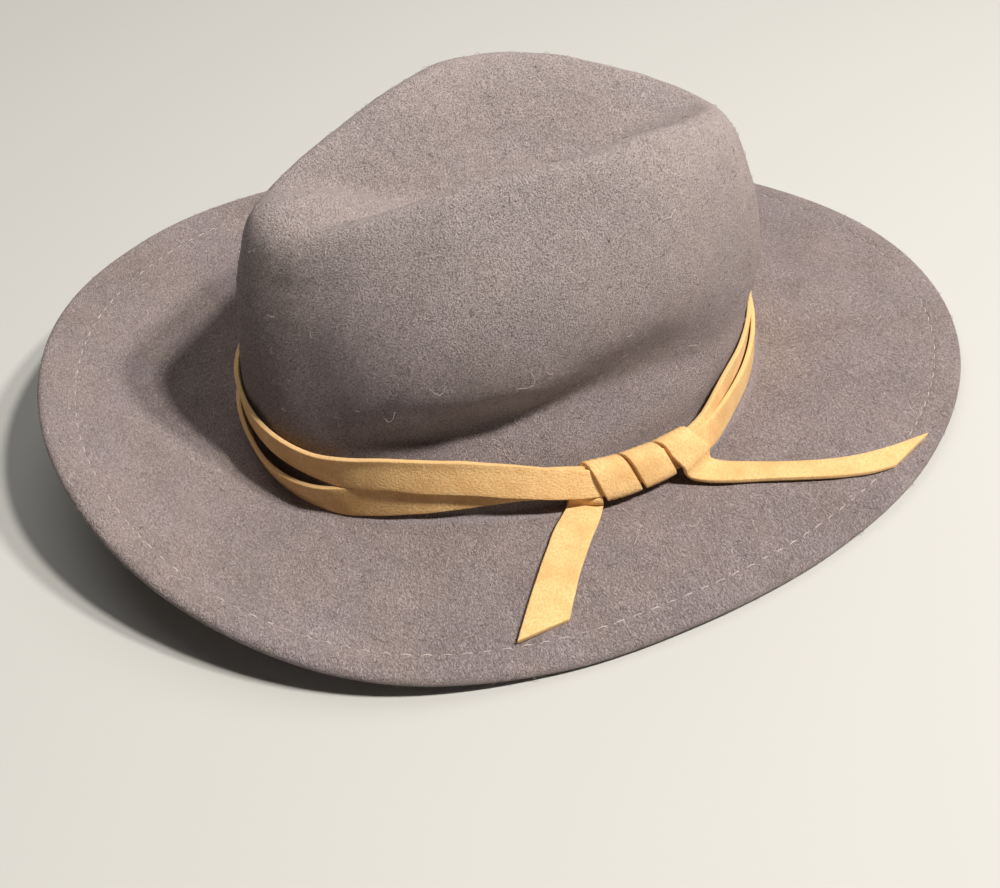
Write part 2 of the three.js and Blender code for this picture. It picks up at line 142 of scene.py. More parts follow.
# Lace turns: height of the lower edge above the crease, and how far the inner face stands out
# from the wall, as it would be without its groove, at the lace's lower and upper edge
LOWER_TURN = {
    "angle": [0, 12, 22.5, 28.5, 36, 45, 58, 66, 74, 84, 98, 104, 112, 118, 124, 130, 145, 160,
              225, 315, 345],
    "up": [1.0, 0.8, 0.7, 0.8, 1.4, 2.4, 4.6, 5.8, 6.2, 5.9, 5.9, 5.4, 4.2, 2.9, 1.8, 1.2, 0.8,
           0.8, 0.8, 0.9, 1.0],
    "foot": [0.3, 0.4, 0.5, 0.9, 0.5, 0.4, 0.6, 1.6, 3.2, 3.6, 5.4, 5.4, 5.2, 4.0, 2.4, 1.2, 0.5,
             0.4, 0.4, 0.3, 0.3],
    "head": [3.2, 4.8, 4.4, 2.3, 0.6, 0.5, 0.7, 1.8, 3.4, 3.6, 5.4, 5.4, 5.4, 5.0, 4.4, 3.8, 3.2,
             3.0, 2.8, 2.8, 2.9],
}
UPPER_TURN = {
    "angle": [0, 12, 22.5, 28.5, 36, 45, 54, 62, 68, 74, 84, 98, 104, 112, 118, 124, 130, 140,
              160, 180, 225, 270, 315, 345],
    "up": [15.2, 14.4, 13.1, 13.0, 12.7, 11.2, 10.4, 9.2, 8.3, 7.2, 5.9, 5.9, 5.6, 5.2, 5.6, 7.8,
           9.5, 10.5, 11, 11.5, 13, 15, 17, 16.5],
    "foot": [0.6, 0.6, 0.9, 2.1, 2.3, 2.4, 3.0, 3.9, 4.7, 5.3, 5.4, 3.6, 3.6, 3.6, 2.8, 1.6, 0.7,
             0.4, 0.4, 0.4, 0.4, 0.4, 0.4, 0.5],
    "head": [1.2, 1.6, 2.6, 3.0, 3.2, 3.2, 3.4, 4.0, 4.8, 5.3, 5.4, 3.6, 3.6, 3.6, 3.0, 2.0, 1.1,
             0.8, 0.6, 0.5, 0.5, 0.5, 0.6, 0.8],
}
# Share of the lace's width that shows where the knot gathers it
GATHER = {
    "angle": [0, 58, 70, 78, 84, 98, 106, 114, 122, 132, 225, 315],
    "share": [1, 1, 0.95, 0.91, 0.82, 0.82, 0.84, 0.92, 0.97, 1, 1, 1],
}
# How far the upper turn's top edge curls away from the felt
CURL = {
    "angle": [0, 15, 35, 55, 70, 90, 180, 270],
    "rise": [0.3, 0.8, 1.0, 0.8, 0.2, 0, 0.1, 0.1],
}
# Run of the turns in degrees: from the knot round by the front to the knot again, where the
# lace climbs to the upper turn, and once more round
TURNS_FROM = 84
TURNS_TO = -622
TURNS_STEP = 1.5
CLIMB_FROM = -262
CLIMB_TO = -275
# Height of a turn for its width, as it leans a little
TURN_UPRIGHT = 0.985

# Knot: a coil round both turns, wound on a rounded section taller than it is deep. The angle
# is about where it first passes its top, and the pitch how many degrees it moves on each time
# round. By the share that the drift gives, it leans less on its outside and more behind
COIL_ANGLE = 85.5
COIL_PITCH = 9.6
COIL_DRIFT = 0.3
COIL_MIDDLE_UP = 10.8
COIL_HALF_UP = 5.8
COIL_MIDDLE_OUT = 5.4
COIL_HALF_OUT = 3.1
COIL_SQUARENESS = 2.8
# Distance of the coil from the middle of the hat, which turns its lengths into angles
COIL_RADIUS = 93
# Winding of the coil in degrees: 0 is its top, 90 its outside
COIL_FROM = -165
COIL_TO = 770
COIL_STEP = 12

# Edges of the free ends on the brim, tip last: angle round the crease, distance out from it
# and lift of the lace's middle off the felt
FRONT_END = {
    "left": [(76.3, 2.4, 1.75), (72.2, 11.5, 1.45), (69.5, 20.2, 1.35), (67.2, 28.7, 1.25),
             (64.4, 42.5, 1.15), (62.4, 55.0, 1.15)],
    "right": [(84.5, 4.9, 1.75), (82.2, 10.2, 1.35), (77.9, 20, 1.15), (74.3, 31.0, 1.1),
              (71.8, 41.1, 1.05), (70.3, 48.3, 1.05)],
}
BACK_END = {
    "left": [(103.4, 9.0, 8.3), (104.0, 9.3, 5.2), (105.2, 11.2, 3.2), (107.6, 15.0, 2.4),
             (111.0, 20.5, 2.15), (114.9, 27.2, 2.05), (119.7, 37.5, 1.95), (124.0, 48.2, 1.85),
             (127.3, 56.0, 1.55), (130.7, 62.3, 1.25)],
    "right": [(111.2, 8.6, 12.4), (111.9, 8.6, 9.2), (112.4, 8.2, 6.0), (113.2, 8.8, 3.3),
              (115.2, 12.8, 1.9), (119.3, 21.5, 1.25), (123.5, 32.4, 1.15), (128.1, 44.4, 1.15),
              (133.2, 55.6, 1.15), (139.4, 68.8, 1.15)],
}
# Places across the lace where its middle surface is worked out, edge to edge, and the
# distance between the rows along it
SHARES = np.linspace(-1, 1, 9)
LACE_ROW_SPACING = 1.1
# Swell of the lace's faces as a share of its thickness
LACE_SWELL = 0.05
# Waver of the lace's width: how far, over how much length for each radian, and its start
LACE_WAVERS = ((0.12, 5.1, 0), (0.08, 2.3, 1))
# Last ring of a cut end: its share of the lace's width, and how far it stands out
END_WIDTH = 0.96
END_LENGTH = 0.12

# Patterns. Felt: how far apart its fibres change their way and how far they stray in all, a
# fibre's length and thickness, the grain between fibres, and two sizes of patches in colour.
# A real fibre is about 0.03 thick, which is too fine to show, so it is drawn coarser
FELT_BEND = 5
FELT_STRAY = 2.2
FELT_FIBRE_LENGTH = 1.3
FELT_FIBRE_THICKNESS = 0.42
FELT_GRAIN = 0.6
FELT_PATCH = 30
FELT_BLOTCH = 22
# Lace: its nap, also drawn coarser than it is, its rubbed patches, and the length and width
# of a brushed strand
LACE_NAP = 0.7
LACE_RUBBED = 11
LACE_STRAND_LENGTH = 1.1
LACE_STRAND_WIDTH = 0.8
# Thread and loose fibres: distance over which their colour changes
THREAD_SHADE = 3

# The photograph's view: distance, elevation, azimuth and roll of the camera round the
# middle of the head opening, and where in the picture that point stands
PHOTO_SIZE = (1000, 888)
VIEW_DISTANCE = 0.5292
VIEW_ELEVATION = 37.6
VIEW_AZIMUTH = 64.2
VIEW_ROLL = -2.33
VIEW_FOCUS_PX = 1343.3
VIEW_CENTRE_PX = (505.5, 378.4)

# Half the floor's length, in metres
FLOOR_HALF = 3.0
# Height that the softboxes point at
LIT_HEIGHT = 30
# Each softbox's direction from the hat, its distance and diameter in metres, and its colour:
# two small warm ones side by side, whose shadows lie one beyond the other, and a wide one
SOFTBOXES = (
    ("key_softbox", (0.417, 0.303, 0.857), 1.8, 0.16, (1, 0.95, 0.89)),
    ("second_softbox", (0.435, 0.435, 0.788), 1.8, 0.16, (1, 0.95, 0.89)),
    ("broad_softbox", (-0.5, 0.05, 0.86), 2.0, 2.0, (1, 0.98, 0.97)),
)


def linear(code):
    """An sRGB hex colour as linear values."""
    parts = [int(code[i:i + 2], 16) / 255 for i in (1, 3, 5)]
    return tuple(c / 12.92 if c <= 0.04045 else ((c + 0.055) / 1.055) ** 2.4 for c in parts)


def mix(a, b, t):
    return a + (b - a) * t


# Smooth curve through a column of values given at angles round the full circle
def smoothly(angles, values, degrees):
    x = np.asarray(angles, float)
    y = np.asarray(values, float)
    x = np.concatenate([x[-2:] - 360, x, x[:3] + 360])
    y = np.concatenate([y[-2:], y, y[:3]])
    gap = np.diff(x)
    slope = np.diff(y) / gap
    tangent = (slope[:-1] * gap[1:] + slope[1:] * gap[:-1]) / (gap[:-1] + gap[1:])
    at = np.asarray(degrees, float) % 360
    i = np.clip(np.searchsorted(x, at, side="right") - 1, 1, len(x) - 3)
    t = (at - x[i]) / gap[i]
    return (y[i] * (2 * t**3 - 3 * t**2 + 1) + tangent[i - 1] * gap[i] * (t**3 - 2 * t**2 + t)
            + y[i + 1] * (3 * t**2 - 2 * t**3) + tangent[i] * gap[i] * (t**3 - t**2))


def crown_at(column, degrees):
    angles = CROWN["angle"] + [360 - a for a in CROWN["angle"][-2:0:-1]]
    return smoothly(angles, CROWN[column] + CROWN[column][-2:0:-1], degrees)


def brim_at(column, degrees):
    return smoothly(BRIM["angle"], BRIM[column], degrees)


# Catmull-Rom curve through stations along the first axis
def through_stations(stations, steps):
    first = 2 * stations[0] - stations[1]
    last = 2 * stations[-1] - stations[-2]
    every = [first, *stations, last]
    points = []
    for i in range(1, len(every) - 2):
        a, b, c, d = every[i - 1:i + 3]
        for j in range(steps):
            t = j / steps
            points.append(0.5 * (2 * b + (c - a) * t + (2 * a - 5 * b + 4 * c - d) * t**2
                                 + (3 * b - a - 3 * c + d) * t**3))
    points.append(np.asarray(stations[-1], float))
    return np.array(points)


def head_radius(degrees):
    theta = np.radians(degrees)
    a = np.abs(np.sin(theta) / HEAD_HALF_WIDTH) ** HEAD_SQUARENESS
    b = np.abs(np.cos(theta) / HEAD_HALF_LENGTH) ** HEAD_SQUARENESS
    return (a + b) ** (-1 / HEAD_SQUARENESS)


def polar(degrees, radius, up):
    theta = np.radians(degrees)
    x = HEAD_X + radius * np.sin(theta)
    y = HEAD_Y - radius * np.cos(theta)
    return np.stack(np.broadcast_arrays(x, y, up), -1).astype(float)


def unit(vectors):
    return vectors / np.linalg.norm(vectors, axis=-1, keepdims=True)


def outward(degrees):
    degrees = np.asarray(degrees, float)
    a = polar(degrees - 0.5, head_radius(degrees - 0.5), 0)
    b = polar(degrees + 0.5, head_radius(degrees + 0.5), 0)
    return unit(np.stack([b[..., 1] - a[..., 1], a[..., 0] - b[..., 0], 0 * a[..., 0]], -1))


def brim_rise(degrees, welt):
    return brim_at("edge", degrees) + welt / 2 - brim_at("crease", degrees)


def brim_level_reach(degrees, welt):
    return np.sqrt(brim_at("reach", degrees) ** 2 - brim_rise(degrees, welt) ** 2)


# Top face of the brim, a level distance out from the crease
def brim_point(degrees, distance, lift=0):
    q = distance / brim_level_reach(degrees, WELT_THICKNESS)
    bow = brim_at("bow", degrees) * 4 * q * (1 - q)
    up = brim_at("crease", degrees) + brim_rise(degrees, WELT_THICKNESS) * q + bow + lift
    crease = polar(degrees, head_radius(degrees), up)
    return crease + outward(degrees) * np.expand_dims(distance, -1)


def brim_face(degrees, distance):
    here = brim_point(degrees, distance)
    out = brim_point(degrees, distance + 1) - here
    around = brim_point(degrees + 0.5, distance) - here
    return -unit(np.cross(around, out))


# Outer face of the crown, crease to ridge: arrays of radius and height, one row per step,
# with or without the groove pressed above the lace
def wall_profile(degrees, steps, pressed=True):
    degrees = np.asarray(degrees, float)
    theta = np.radians(degrees)
    head = head_radius(degrees)
    crease = brim_at("crease", degrees)
    out = crown_at("ridgeOut", degrees)
    soft = crown_at("shoulder", degrees)
    skew = -np.sin(2 * theta) * (1 - np.cos(theta)) / 2
    up = crown_at("ridgeUp", degrees) + RIDGE_SKEW * skew
    foot = head - crown_at("foot", degrees)
    insets = [crown_at(name, degrees) for name in ("in13", "in27", "in46", "in70")]
    stations = [(foot + 0.3, crease + 0.9), (foot - 0.1 * insets[0], crease + 4)]
    stations += [(head - inset, crease + h) for inset, h in zip(insets, WALL_HEIGHTS)]
    stations += [(out + soft, up - 0.75 * soft), (out, up), (out - soft, up - 0.55 * soft)]
    curve = through_stations(np.array(stations), steps)[:WALL_SPANS * steps + 1]
    side = np.minimum(degrees % 360, 360 - degrees % 360)
    # what is pressed in fades out below the ridge
    fade = np.clip(WALL_SPANS - 0.5 - np.arange(len(curve)) / steps, 0, 1)
    radius = curve[:, 0].copy()
    fade = fade.reshape(-1, *([1] * degrees.ndim))
    depth, angle, height, wide, tall = PRESS
    away = ((side - angle) / wide) ** 2 + ((curve[:, 1] - crease - height) / tall) ** 2
    radius -= depth * np.exp(-away) * fade
    if pressed:
        off = curve[:, 1] - crease - crown_at("grooveUp", degrees)
        off = off / np.where(off > 0, GROOVE_ABOVE, GROOVE_BELOW)
        radius -= crown_at("groove", degrees) * np.exp(-off**2) * fade
    return radius, curve[:, 1]


# Radius of the crown's outer face at a height above the crease, for one angle; the lace
# bridges the groove
def wall_radius(degrees, up):
    radius, height = wall_profile(float(degrees), 6, pressed=False)
    return float(np.interp(up + brim_at("crease", degrees), height, radius))


def top_point(degrees, ridge_radius, ridge_up, share):
    slope = DENT_RISE_TO_BACK * np.cos(np.radians(degrees))
    radius = ridge_radius * share
    rise = 1 - (1 - share**2) ** 2
    floor = DENT_FLOOR - slope * radius
    return polar(degrees, radius, floor + (ridge_up - DENT_FLOOR + slope * ridge_radius) * rise)


# A mesh object from rings of equal length, its two ends drawn together to their middles,
# with values for its points by the name of their attribute
def ring_mesh(name, rings, attributes):
    rings = np.asarray(rings, float)
    count, around = rings.shape[:2]
    points = rings.reshape(-1, 3)
    faces = []
    for k in range(count - 1):
        a = k * around
        b = a + around
        for i in range(around):
            j = (i + 1) % around
            faces.append((a + i, a + j, b + j, b + i))
    for ring, order in ((0, -1), (count - 1, 1)):
        middle = len(points)
        points = np.vstack([points, rings[ring].mean(axis=0)])
        for i in range(around):
            pair = (ring * around + i, ring * around + (i + 1) % around)
            faces.append((*pair[::order], middle))
    mesh = bpy.data.meshes.new(name)
    mesh.from_pydata((points * MM).tolist(), [], faces)
    mesh.polygons.foreach_set("use_smooth", [True] * len(mesh.polygons))
    for key, values in attributes.items():
        values = np.asarray(values, float).reshape(-1)
        spare = np.full(len(points) - len(values), values[-1])
        layer = mesh.attributes.new(key, "FLOAT", "POINT")
        layer.data.foreach_set("value", np.concatenate([values, spare]))
    mesh.update()
    made = bpy.data.objects.new(name, mesh)
    bpy.context.scene.collection.objects.link(made)
    return made


# Small unevenness of hand-pressed felt, smooth and the same every run
def unevenness(points, size):
    waves = [(0.9, 1.3, 0.7, 0.4), (-1.6, 0.8, 1.1, 2.1),
             (0.4, -1.9, 1.5, 4.0), (2.3, 1.7, -0.9, 5.2)]
    total = 0
    for x, y, z, shift in waves:
        total = total + np.sin((points @ np.array([x, y, z])) * 2 * math.pi / size + shift)
    return total / len(waves)


# One face of a solid shell: normals of a grid of rings that runs from the edge inwards
def grid_normals(rings):
    around = np.roll(rings, -1, axis=1) - np.roll(rings, 1, axis=1)
    inwards = np.empty_like(rings)
    inwards[1:-1] = rings[2:] - rings[:-2]
    inwards[0] = rings[1] - rings[0]
    inwards[-1] = rings[-1] - rings[-2]
    return unit(np.cross(around, inwards))


def felt_rings(sizes):
    """Upper face from the welt's edge to the middle of the dent, and how deep each ring is."""
    degrees = np.arange(sizes.around) * 360 / sizes.around
    welt = sizes.welt_thickness / MM
    felt = sizes.thickness / MM
    width = sizes.welt_width / MM
    stitch = sizes.stitch_inset / MM
    level = brim_level_reach(degrees, welt)
    rings, depth, crease = [], [], []

    def add_ring(points, thick, near=0.0):
        rings.append(points)
        depth.append(thick)
        crease.append(near)

    # folded edge, slightly swollen between its rim and the row of stitches
    rim = WELT_INSETS[0]
    for inset in [m for m in WELT_INSETS if m < stitch - 0.3]:
        swell = WELT_SWELL * math.sin(math.pi * (inset - rim) / (stitch - rim))
        add_ring(brim_point(degrees, level - inset, swell), welt)
    add_ring(brim_point(degrees, level - stitch, -STITCH_GROOVE), welt)
    add_ring(brim_point(degrees, level - stitch - 0.45, -0.1), welt)
    add_ring(brim_point(degrees, level - width, 0.02), welt)
    flat = level - width - 0.6
    add_ring(brim_point(degrees, flat, 0.03), felt)
    for k in range(1, BRIM_STEPS):
        add_ring(brim_point(degrees, mix(flat, FOLD_DISTANCES[0], k / BRIM_STEPS)), felt)
    for distance in FOLD_DISTANCES:
        lift = FOLD_LIFT * max(0.0, (FOLD_LIFT_FROM - distance) / FOLD_LIFT_OVER) ** 2
        near = max(0.0, 1 - abs(distance - FOLD_LINE) / FOLD_LINE_HALF_WIDTH)
        add_ring(brim_point(degrees, distance, lift), felt, near)
    radius, up = wall_profile(degrees, sizes.wall_steps)
    for r, z in zip(radius, up):
        add_ring(polar(degrees, r, z), felt)
    for k in range(1, DENT_STEPS):
        share = 1 - k / DENT_STEPS
        add_ring(top_point(degrees, radius[-1], up[-1], share), felt)
    return degrees, np.array(rings), np.array(depth), np.array(crease)


def build_felt_body(sizes):
    degrees, rings, depth, crease = felt_rings(sizes)
    normals = grid_normals(rings)
    welt = sizes.welt_thickness / MM
    felt = sizes.thickness / MM
    broad, broad_share = BROAD_WAVES
    small, small_share = SMALL_WAVES
    waves = (unevenness(rings, broad) * broad_share
             + unevenness(rings[..., [1, 2, 0]], small) * small_share)
    steady = np.clip(np.arange(len(rings)) / STEADY_RINGS, 0, 1)[:, None]
    rings = rings + normals * (waves * steady)[..., None] * sizes.unevenness / MM
    under = rings - normals * depth[:, None, None]
    # rim of the fold, a half round from the upper face to the lower one
    rim = []
    level = brim_level_reach(degrees, welt)
    out_way = unit(brim_point(degrees, level) - brim_point(degrees, level - WELT_INSETS[0]))
    centre = rings[0] - normals[0] * welt / 2
    for turn in np.radians(RIM_TURNS):
        rim.append(centre + (out_way * math.cos(turn) + normals[0] * math.sin(turn)) * welt / 2)
    welt_rings = int(np.sum(depth > felt + 0.1))
    lip, step_in = under[welt_rings - 1], under[welt_rings]
    lower = list(under[:welt_rings])
    for share, lift in WELT_STEP:
        lower.append(mix(lip, step_in, share) + normals[welt_rings] * lift)
    lower += list(under[welt_rings:])
    order = np.array(lower[::-1] + rim[::-1] + list(rings))
    near = [0.0] * (len(lower) + len(rim)) + list(crease)
    attributes = {"crease": np.repeat(np.array(near)[:, None], len(degrees), axis=1)}
    return ring_mesh("felt_body_soft", order, attributes)


# Cross-section of a flat lace with softened corners: across and face offsets, and how
# much each point belongs to the cut edge
def lace_outline(width, thick, corner):
    half, deep = width / 2, thick / 2
    points, edge = [], []
    for side, top, start in ((1, -1, -90), (1, 1, 0), (-1, 1, 90), (-1, -1, 180)):
        for step in range(4):
            turn = math.radians(start + 30 * step)
            points.append((side * (half - corner) + corner * math.cos(turn),
                           top * (deep - corner) + corner * math.sin(turn)))
            edge.append(abs(math.cos(turn)) ** 2)
        if side == top:
            for share in (0.75, 0.5, 0.25, 0, -0.25, -0.5, -0.75):
                swell = LACE_SWELL * thick * (1 - share**2)
                points.append((side * share * (half - corner), side * (deep + swell)))
                edge.append(0.0)
    return np.array(points), np.array(edge)


def resampled(grid, spacing):
    """Rows of a strip's middle surface at even steps along it."""
    steps = np.linalg.norm(np.diff(grid.mean(axis=1), axis=0), axis=1)
    lengths = np.concatenate([[0], np.cumsum(steps)])
    at = np.linspace(0, lengths[-1], int(lengths[-1] / spacing) + 1)
    i = np.clip(np.searchsorted(lengths, at, side="right") - 1, 0, len(steps) - 1)
    t = ((at - lengths[i]) / steps[i])[:, None, None]
    return mix(grid[i], grid[i + 1], t), at


def lace_mesh(name, grid, sizes):
    """A strip of lace round its middle surface, given as rows of points across it."""
    width, thick = sizes.width / MM, sizes.thickness / MM
    grid, lengths = resampled(grid, LACE_ROW_SPACING)
    along = unit(np.gradient(grid, axis=0))
    faces = unit(np.cross(along, np.gradient(grid, axis=1)))
    outline, edge = lace_outline(width, thick, min(sizes.corner / MM, thick * 0.45))
    rings, along_at, across_at, cut_edge = [], [], [], []

    def ring(k, shrink, shift, at_end):
        share = outline[:, 0] * shrink * 2 / width
        deep = outline[:, 1] * (1 - (1 - shrink) * 4)
        waver = sum(far * math.sin(lengths[k] / over + start) for far, over, start in LACE_WAVERS)
        share = share * (1 + waver / width)
        place = np.clip((share + 1) / 2, 0, 1) * (len(SHARES) - 1)
        i = np.minimum(place.astype(int), len(SHARES) - 2)
        t = (place - i)[:, None]
        over = (share - np.clip(share, -1, 1))[:, None] * (grid[k, -1] - grid[k, 0]) / 2
        points = mix(grid[k, i], grid[k, i + 1], t) + over
        points = points + unit(mix(faces[k, i], faces[k, i + 1], t)) * deep[:, None]
        rings.append(points + mix(along[k, i], along[k, i + 1], t) * shift)
        along_at.append(np.full(len(share), lengths[k]) + shift)
        across_at.append(share * width / 2)
        cut_edge.append(np.maximum(edge, at_end))

    last = len(lengths) - 1
    ring(0, END_WIDTH, -END_LENGTH, 1.0)
    for k in range(len(lengths)):
        ring(k, 1.0, 0.0, 0.0)
    ring(last, END_WIDTH, END_LENGTH, 1.0)
    attributes = {"along": along_at, "across": across_at, "cut_edge": cut_edge}
    return ring_mesh(name, rings, attributes)


def on_wall(degrees, up, out):
    return polar(degrees, wall_radius(degrees, up) + out, brim_at("crease", degrees) + up)


def build_lace_turns(sizes):
    width = sizes.turn_width / MM
    thick = sizes.thickness / MM
    rows = []
    for turn in np.arange(TURNS_FROM, TURNS_TO - 0.1, -TURNS_STEP):
        a = turn % 360
        low_up, low_foot, low_head = (
            smoothly(LOWER_TURN["angle"], LOWER_TURN[c], a) for c in ("up", "foot", "head"))
        high_up, high_foot, high_head = (
            smoothly(UPPER_TURN["angle"], UPPER_TURN[c], a) for c in ("up", "foot", "head"))
        t = min(1, max(0, (CLIMB_FROM - turn) / (CLIMB_FROM - CLIMB_TO)))
        t = t * t * (3 - 2 * t)
        shown = width * smoothly(GATHER["angle"], GATHER["share"], a)
        up = mix(low_up, high_up, t)
        foot = on_wall(a, up, mix(low_foot, high_foot, t))
        head = on_wall(a, up + shown * TURN_UPRIGHT, mix(low_head, high_head, t))
        across = unit(head - foot)
        out = outward(a)
        face = unit(out - across * np.dot(across, out))
        middle = foot + across * shown / 2 + face * thick / 2
        curl = t * smoothly(CURL["angle"], CURL["rise"], a) * np.clip(SHARES, 0, 1) ** 3
        rows.append(middle + across * (SHARES * shown / 2)[:, None] + face * curl[:, None])
    return lace_mesh("lace_turns_soft", np.array(rows), sizes)


def powered(value, power):
    return np.sign(value) * np.abs(value) ** power


# Section of the coil as lengths round it, from the top over the outside, and its points
def coil_section():
    turn = np.radians(np.arange(0, 361, 2))
    power = 2 / COIL_SQUARENESS
    out = COIL_MIDDLE_OUT + COIL_HALF_OUT * powered(np.sin(turn), power)
    up = COIL_MIDDLE_UP + COIL_HALF_UP * powered(np.cos(turn), power)
    lengths = np.concatenate([[0], np.cumsum(np.hypot(np.diff(out), np.diff(up)))])
    return lengths, out, up


# How steeply the lace leans as it goes once round the coil's section
def coil_lead(loop):
    return math.atan2(COIL_PITCH * math.radians(1) * COIL_RADIUS, loop)


# Middle surface of the coil: `along` and `across` are lengths on the lace laid out flat
def on_coil(along, across):
    lengths, outs, ups = coil_section()
    loop = lengths[-1]
    lead = coil_lead(loop)
    round_it = along * math.cos(lead) - across * math.sin(lead)
    sideways = along * math.sin(lead) + across * math.cos(lead)
    drift = COIL_DRIFT * COIL_PITCH / (2 * math.pi) * math.cos(2 * math.pi * round_it / loop)
    a = COIL_ANGLE + math.degrees(sideways / COIL_RADIUS) + drift
    out = np.interp(round_it % loop, lengths, outs)
    up = np.interp(round_it % loop, lengths, ups)
    return on_wall(a, up, out)


# Rows across a free end, each between a point of its left edge and one of its right edge
def end_rows(end):
    left, right = ([brim_point(a, out) + brim_face(a, out) * lift for a, out, lift in end[side]]
                   for side in ("left", "right"))
    return [mix(np.array(a), np.array(b), (SHARES[:, None] + 1) / 2) for a, b in zip(left, right)]


def build_lace_knot(sizes):
    width = sizes.width / MM
    loop = coil_section()[0][-1]
    lead = coil_lead(loop)
    rows = end_rows(FRONT_END)[::-1]
    for winding in range(COIL_FROM, COIL_TO + 1, COIL_STEP):
        along = winding / 360 * loop / math.cos(lead)
        rows.append(np.array([on_coil(along, share * width / 2) for share in SHARES]))
    rows += end_rows(BACK_END)
    return lace_mesh("lace_knot_soft", through_stations(np.array(rows), 5), sizes)


# Adds a node with its settings and its inputs, each a value or a (node, output) pair
def add(tree, kind, inputs=None, **settings):
    made = tree.nodes.new(kind)
    for key, value in settings.items():
        setattr(made, key, value)
    for key, value in (inputs or {}).items():
        if isinstance(value, tuple) and isinstance(value[0], bpy.types.Node):
            tree.links.new(value[0].outputs[value[1]], made.inputs[key])
        else:
            made.inputs[key].default_value = value
    return made


def new_material(name):
    material = bpy.data.materials.new(name)
    material.use_nodes = True
    material.node_tree.nodes.clear()
    return material, material.node_tree


def colour(rgb):
    return (*rgb, 1.0)


# Wool felt, brushed: matt and mottled, with short pale and dark fibres lying every way
# and a soft rim of light where its nap is seen edge on
def wool_felt(settings):
    material, tree = new_material("brushed_wool_felt")
    place = add(tree, "ShaderNodeTexCoord")
    bend = add(tree, "ShaderNodeTexNoise", {"Vector": (place, "Object"),
                                            "Scale": 1 / (FELT_BEND * MM), "Detail": 1.0})
    bent = add(tree, "ShaderNodeVectorMath", {0: (bend, "Color"), 1: (0.5, 0.5, 0.5)},
               operation="SUBTRACT")
    bent = add(tree, "ShaderNodeVectorMath", {0: (bent, "Vector"), "Scale": FELT_STRAY * MM},
               operation="SCALE")
    bent = add(tree, "ShaderNodeVectorMath", {0: (place, "Object"), 1: (bent, "Vector")},
               operation="ADD")
    # four lays of fibre, each drawn out along its own direction
    lays = [(0.1, 0.2, 0.4), (1.3, 0.3, 1.9), (0.5, 1.2, 2.8), (0.9, -0.8, 1.1)]
    lengthwise, sideways = 1 / (FELT_FIBRE_LENGTH * MM), 1 / (FELT_FIBRE_THICKNESS * MM)
    pale = None
    dark = None
    for turn in lays:
        drawn = add(tree, "ShaderNodeMapping", {"Vector": (bent, "Vector"), "Rotation": turn,
                                                "Scale": (lengthwise, sideways, sideways)})
        noise = add(tree, "ShaderNodeTexNoise", {"Vector": (drawn, "Vector"), "Scale": 1.0,
                                                 "Detail": 2.0, "Roughness": 0.6})
        light = add(tree, "ShaderNodeMapRange", {"Value": (noise, "Fac"), "From Min": 0.56,
                                                 "From Max": 0.72})
        shade = add(tree, "ShaderNodeMapRange", {"Value": (noise, "Fac"), "From Min": 0.44,
                                                 "From Max": 0.30})
        if pale is None:
            pale, dark = (light, "Result"), (shade, "Result")
        else:
            pale = (add(tree, "ShaderNodeMath", {0: pale, 1: (light, "Result")},
                        operation="MAXIMUM"), "Value")
            dark = (add(tree, "ShaderNodeMath", {0: dark, 1: (shade, "Result")},
                        operation="MAXIMUM"), "Value")
    grain = add(tree, "ShaderNodeTexNoise", {
        "Vector": (place, "Object"), "Scale": 1 / (FELT_GRAIN * MM), "Detail": 3.0,
        "Roughness": 0.7})
    patch = add(tree, "ShaderNodeTexNoise", {
        "Vector": (place, "Object"), "Scale": 1 / (FELT_PATCH * MM), "Detail": 3.0,
        "Roughness": 0.55})
    blotch = add(tree, "ShaderNodeTexNoise", {
        "Vector": (place, "Object"), "Scale": 1 / (FELT_BLOTCH * MM), "Detail": 3.0})
    warm = add(tree, "ShaderNodeMapRange", {"Value": (patch, "Fac"), "From Min": 0.38,
                                            "From Max": 0.62})
    base = add(tree, "ShaderNodeMix", {"Factor": (warm, "Result"),
                                       6: colour(settings.cool_colour),
                                       7: colour(settings.warm_colour)}, data_type="RGBA")
    uneven = add(tree, "ShaderNodeMapRange", {"Value": (blotch, "Fac"), "From Min": 0.3,
                                              "From Max": 0.7, "To Min": 0.0, "To Max": 0.42})
    base = add(tree, "ShaderNodeMix", {"Factor": (uneven, "Result"), 6: (base, 2),
                                       7: colour(settings.dark_colour)}, data_type="RGBA")
    # painted light: paler towards the top of the crown, brightening the top where it faces the
    # softboxes
    height = add(tree, "ShaderNodeSeparateXYZ", {"Vector": (place, "Object")})
    top_light_share = add(tree, "ShaderNodeMapRange", {"Value": (height, "Z"), "From Min": 0.05,
                                             "From Max": 0.11, "To Max": settings.painted_top_light})
    base = add(tree, "ShaderNodeMix", {"Factor": (top_light_share, "Result"), 6: (base, 2),
                                       7: colour(settings.pale_colour)}, data_type="RGBA")
    deep = add(tree, "ShaderNodeMath", {0: dark, 1: settings.dark_fibres}, operation="MULTIPLY")
    base = add(tree, "ShaderNodeMix", {"Factor": (deep, "Value"), 6: (base, 2),
                                       7: colour(settings.dark_colour)}, data_type="RGBA")
    bright = add(tree, "ShaderNodeMath", {0: pale, 1: settings.pale_fibres}, operation="MULTIPLY")
    base = add(tree, "ShaderNodeMix", {"Factor": (bright, "Value"), 6: (base, 2),
                                       7: colour(settings.pale_colour)}, data_type="RGBA")
    # pores between the fibres
    pores = add(tree, "ShaderNodeMapRange", {"Value": (grain, "Fac"), "From Min": 0.52,
                                             "From Max": 0.34, "To Max": 0.75})
    base = add(tree, "ShaderNodeMix", {"Factor": (pores, "Result"), 6: (base, 2),
                                       7: colour(settings.dark_colour)}, data_type="RGBA")
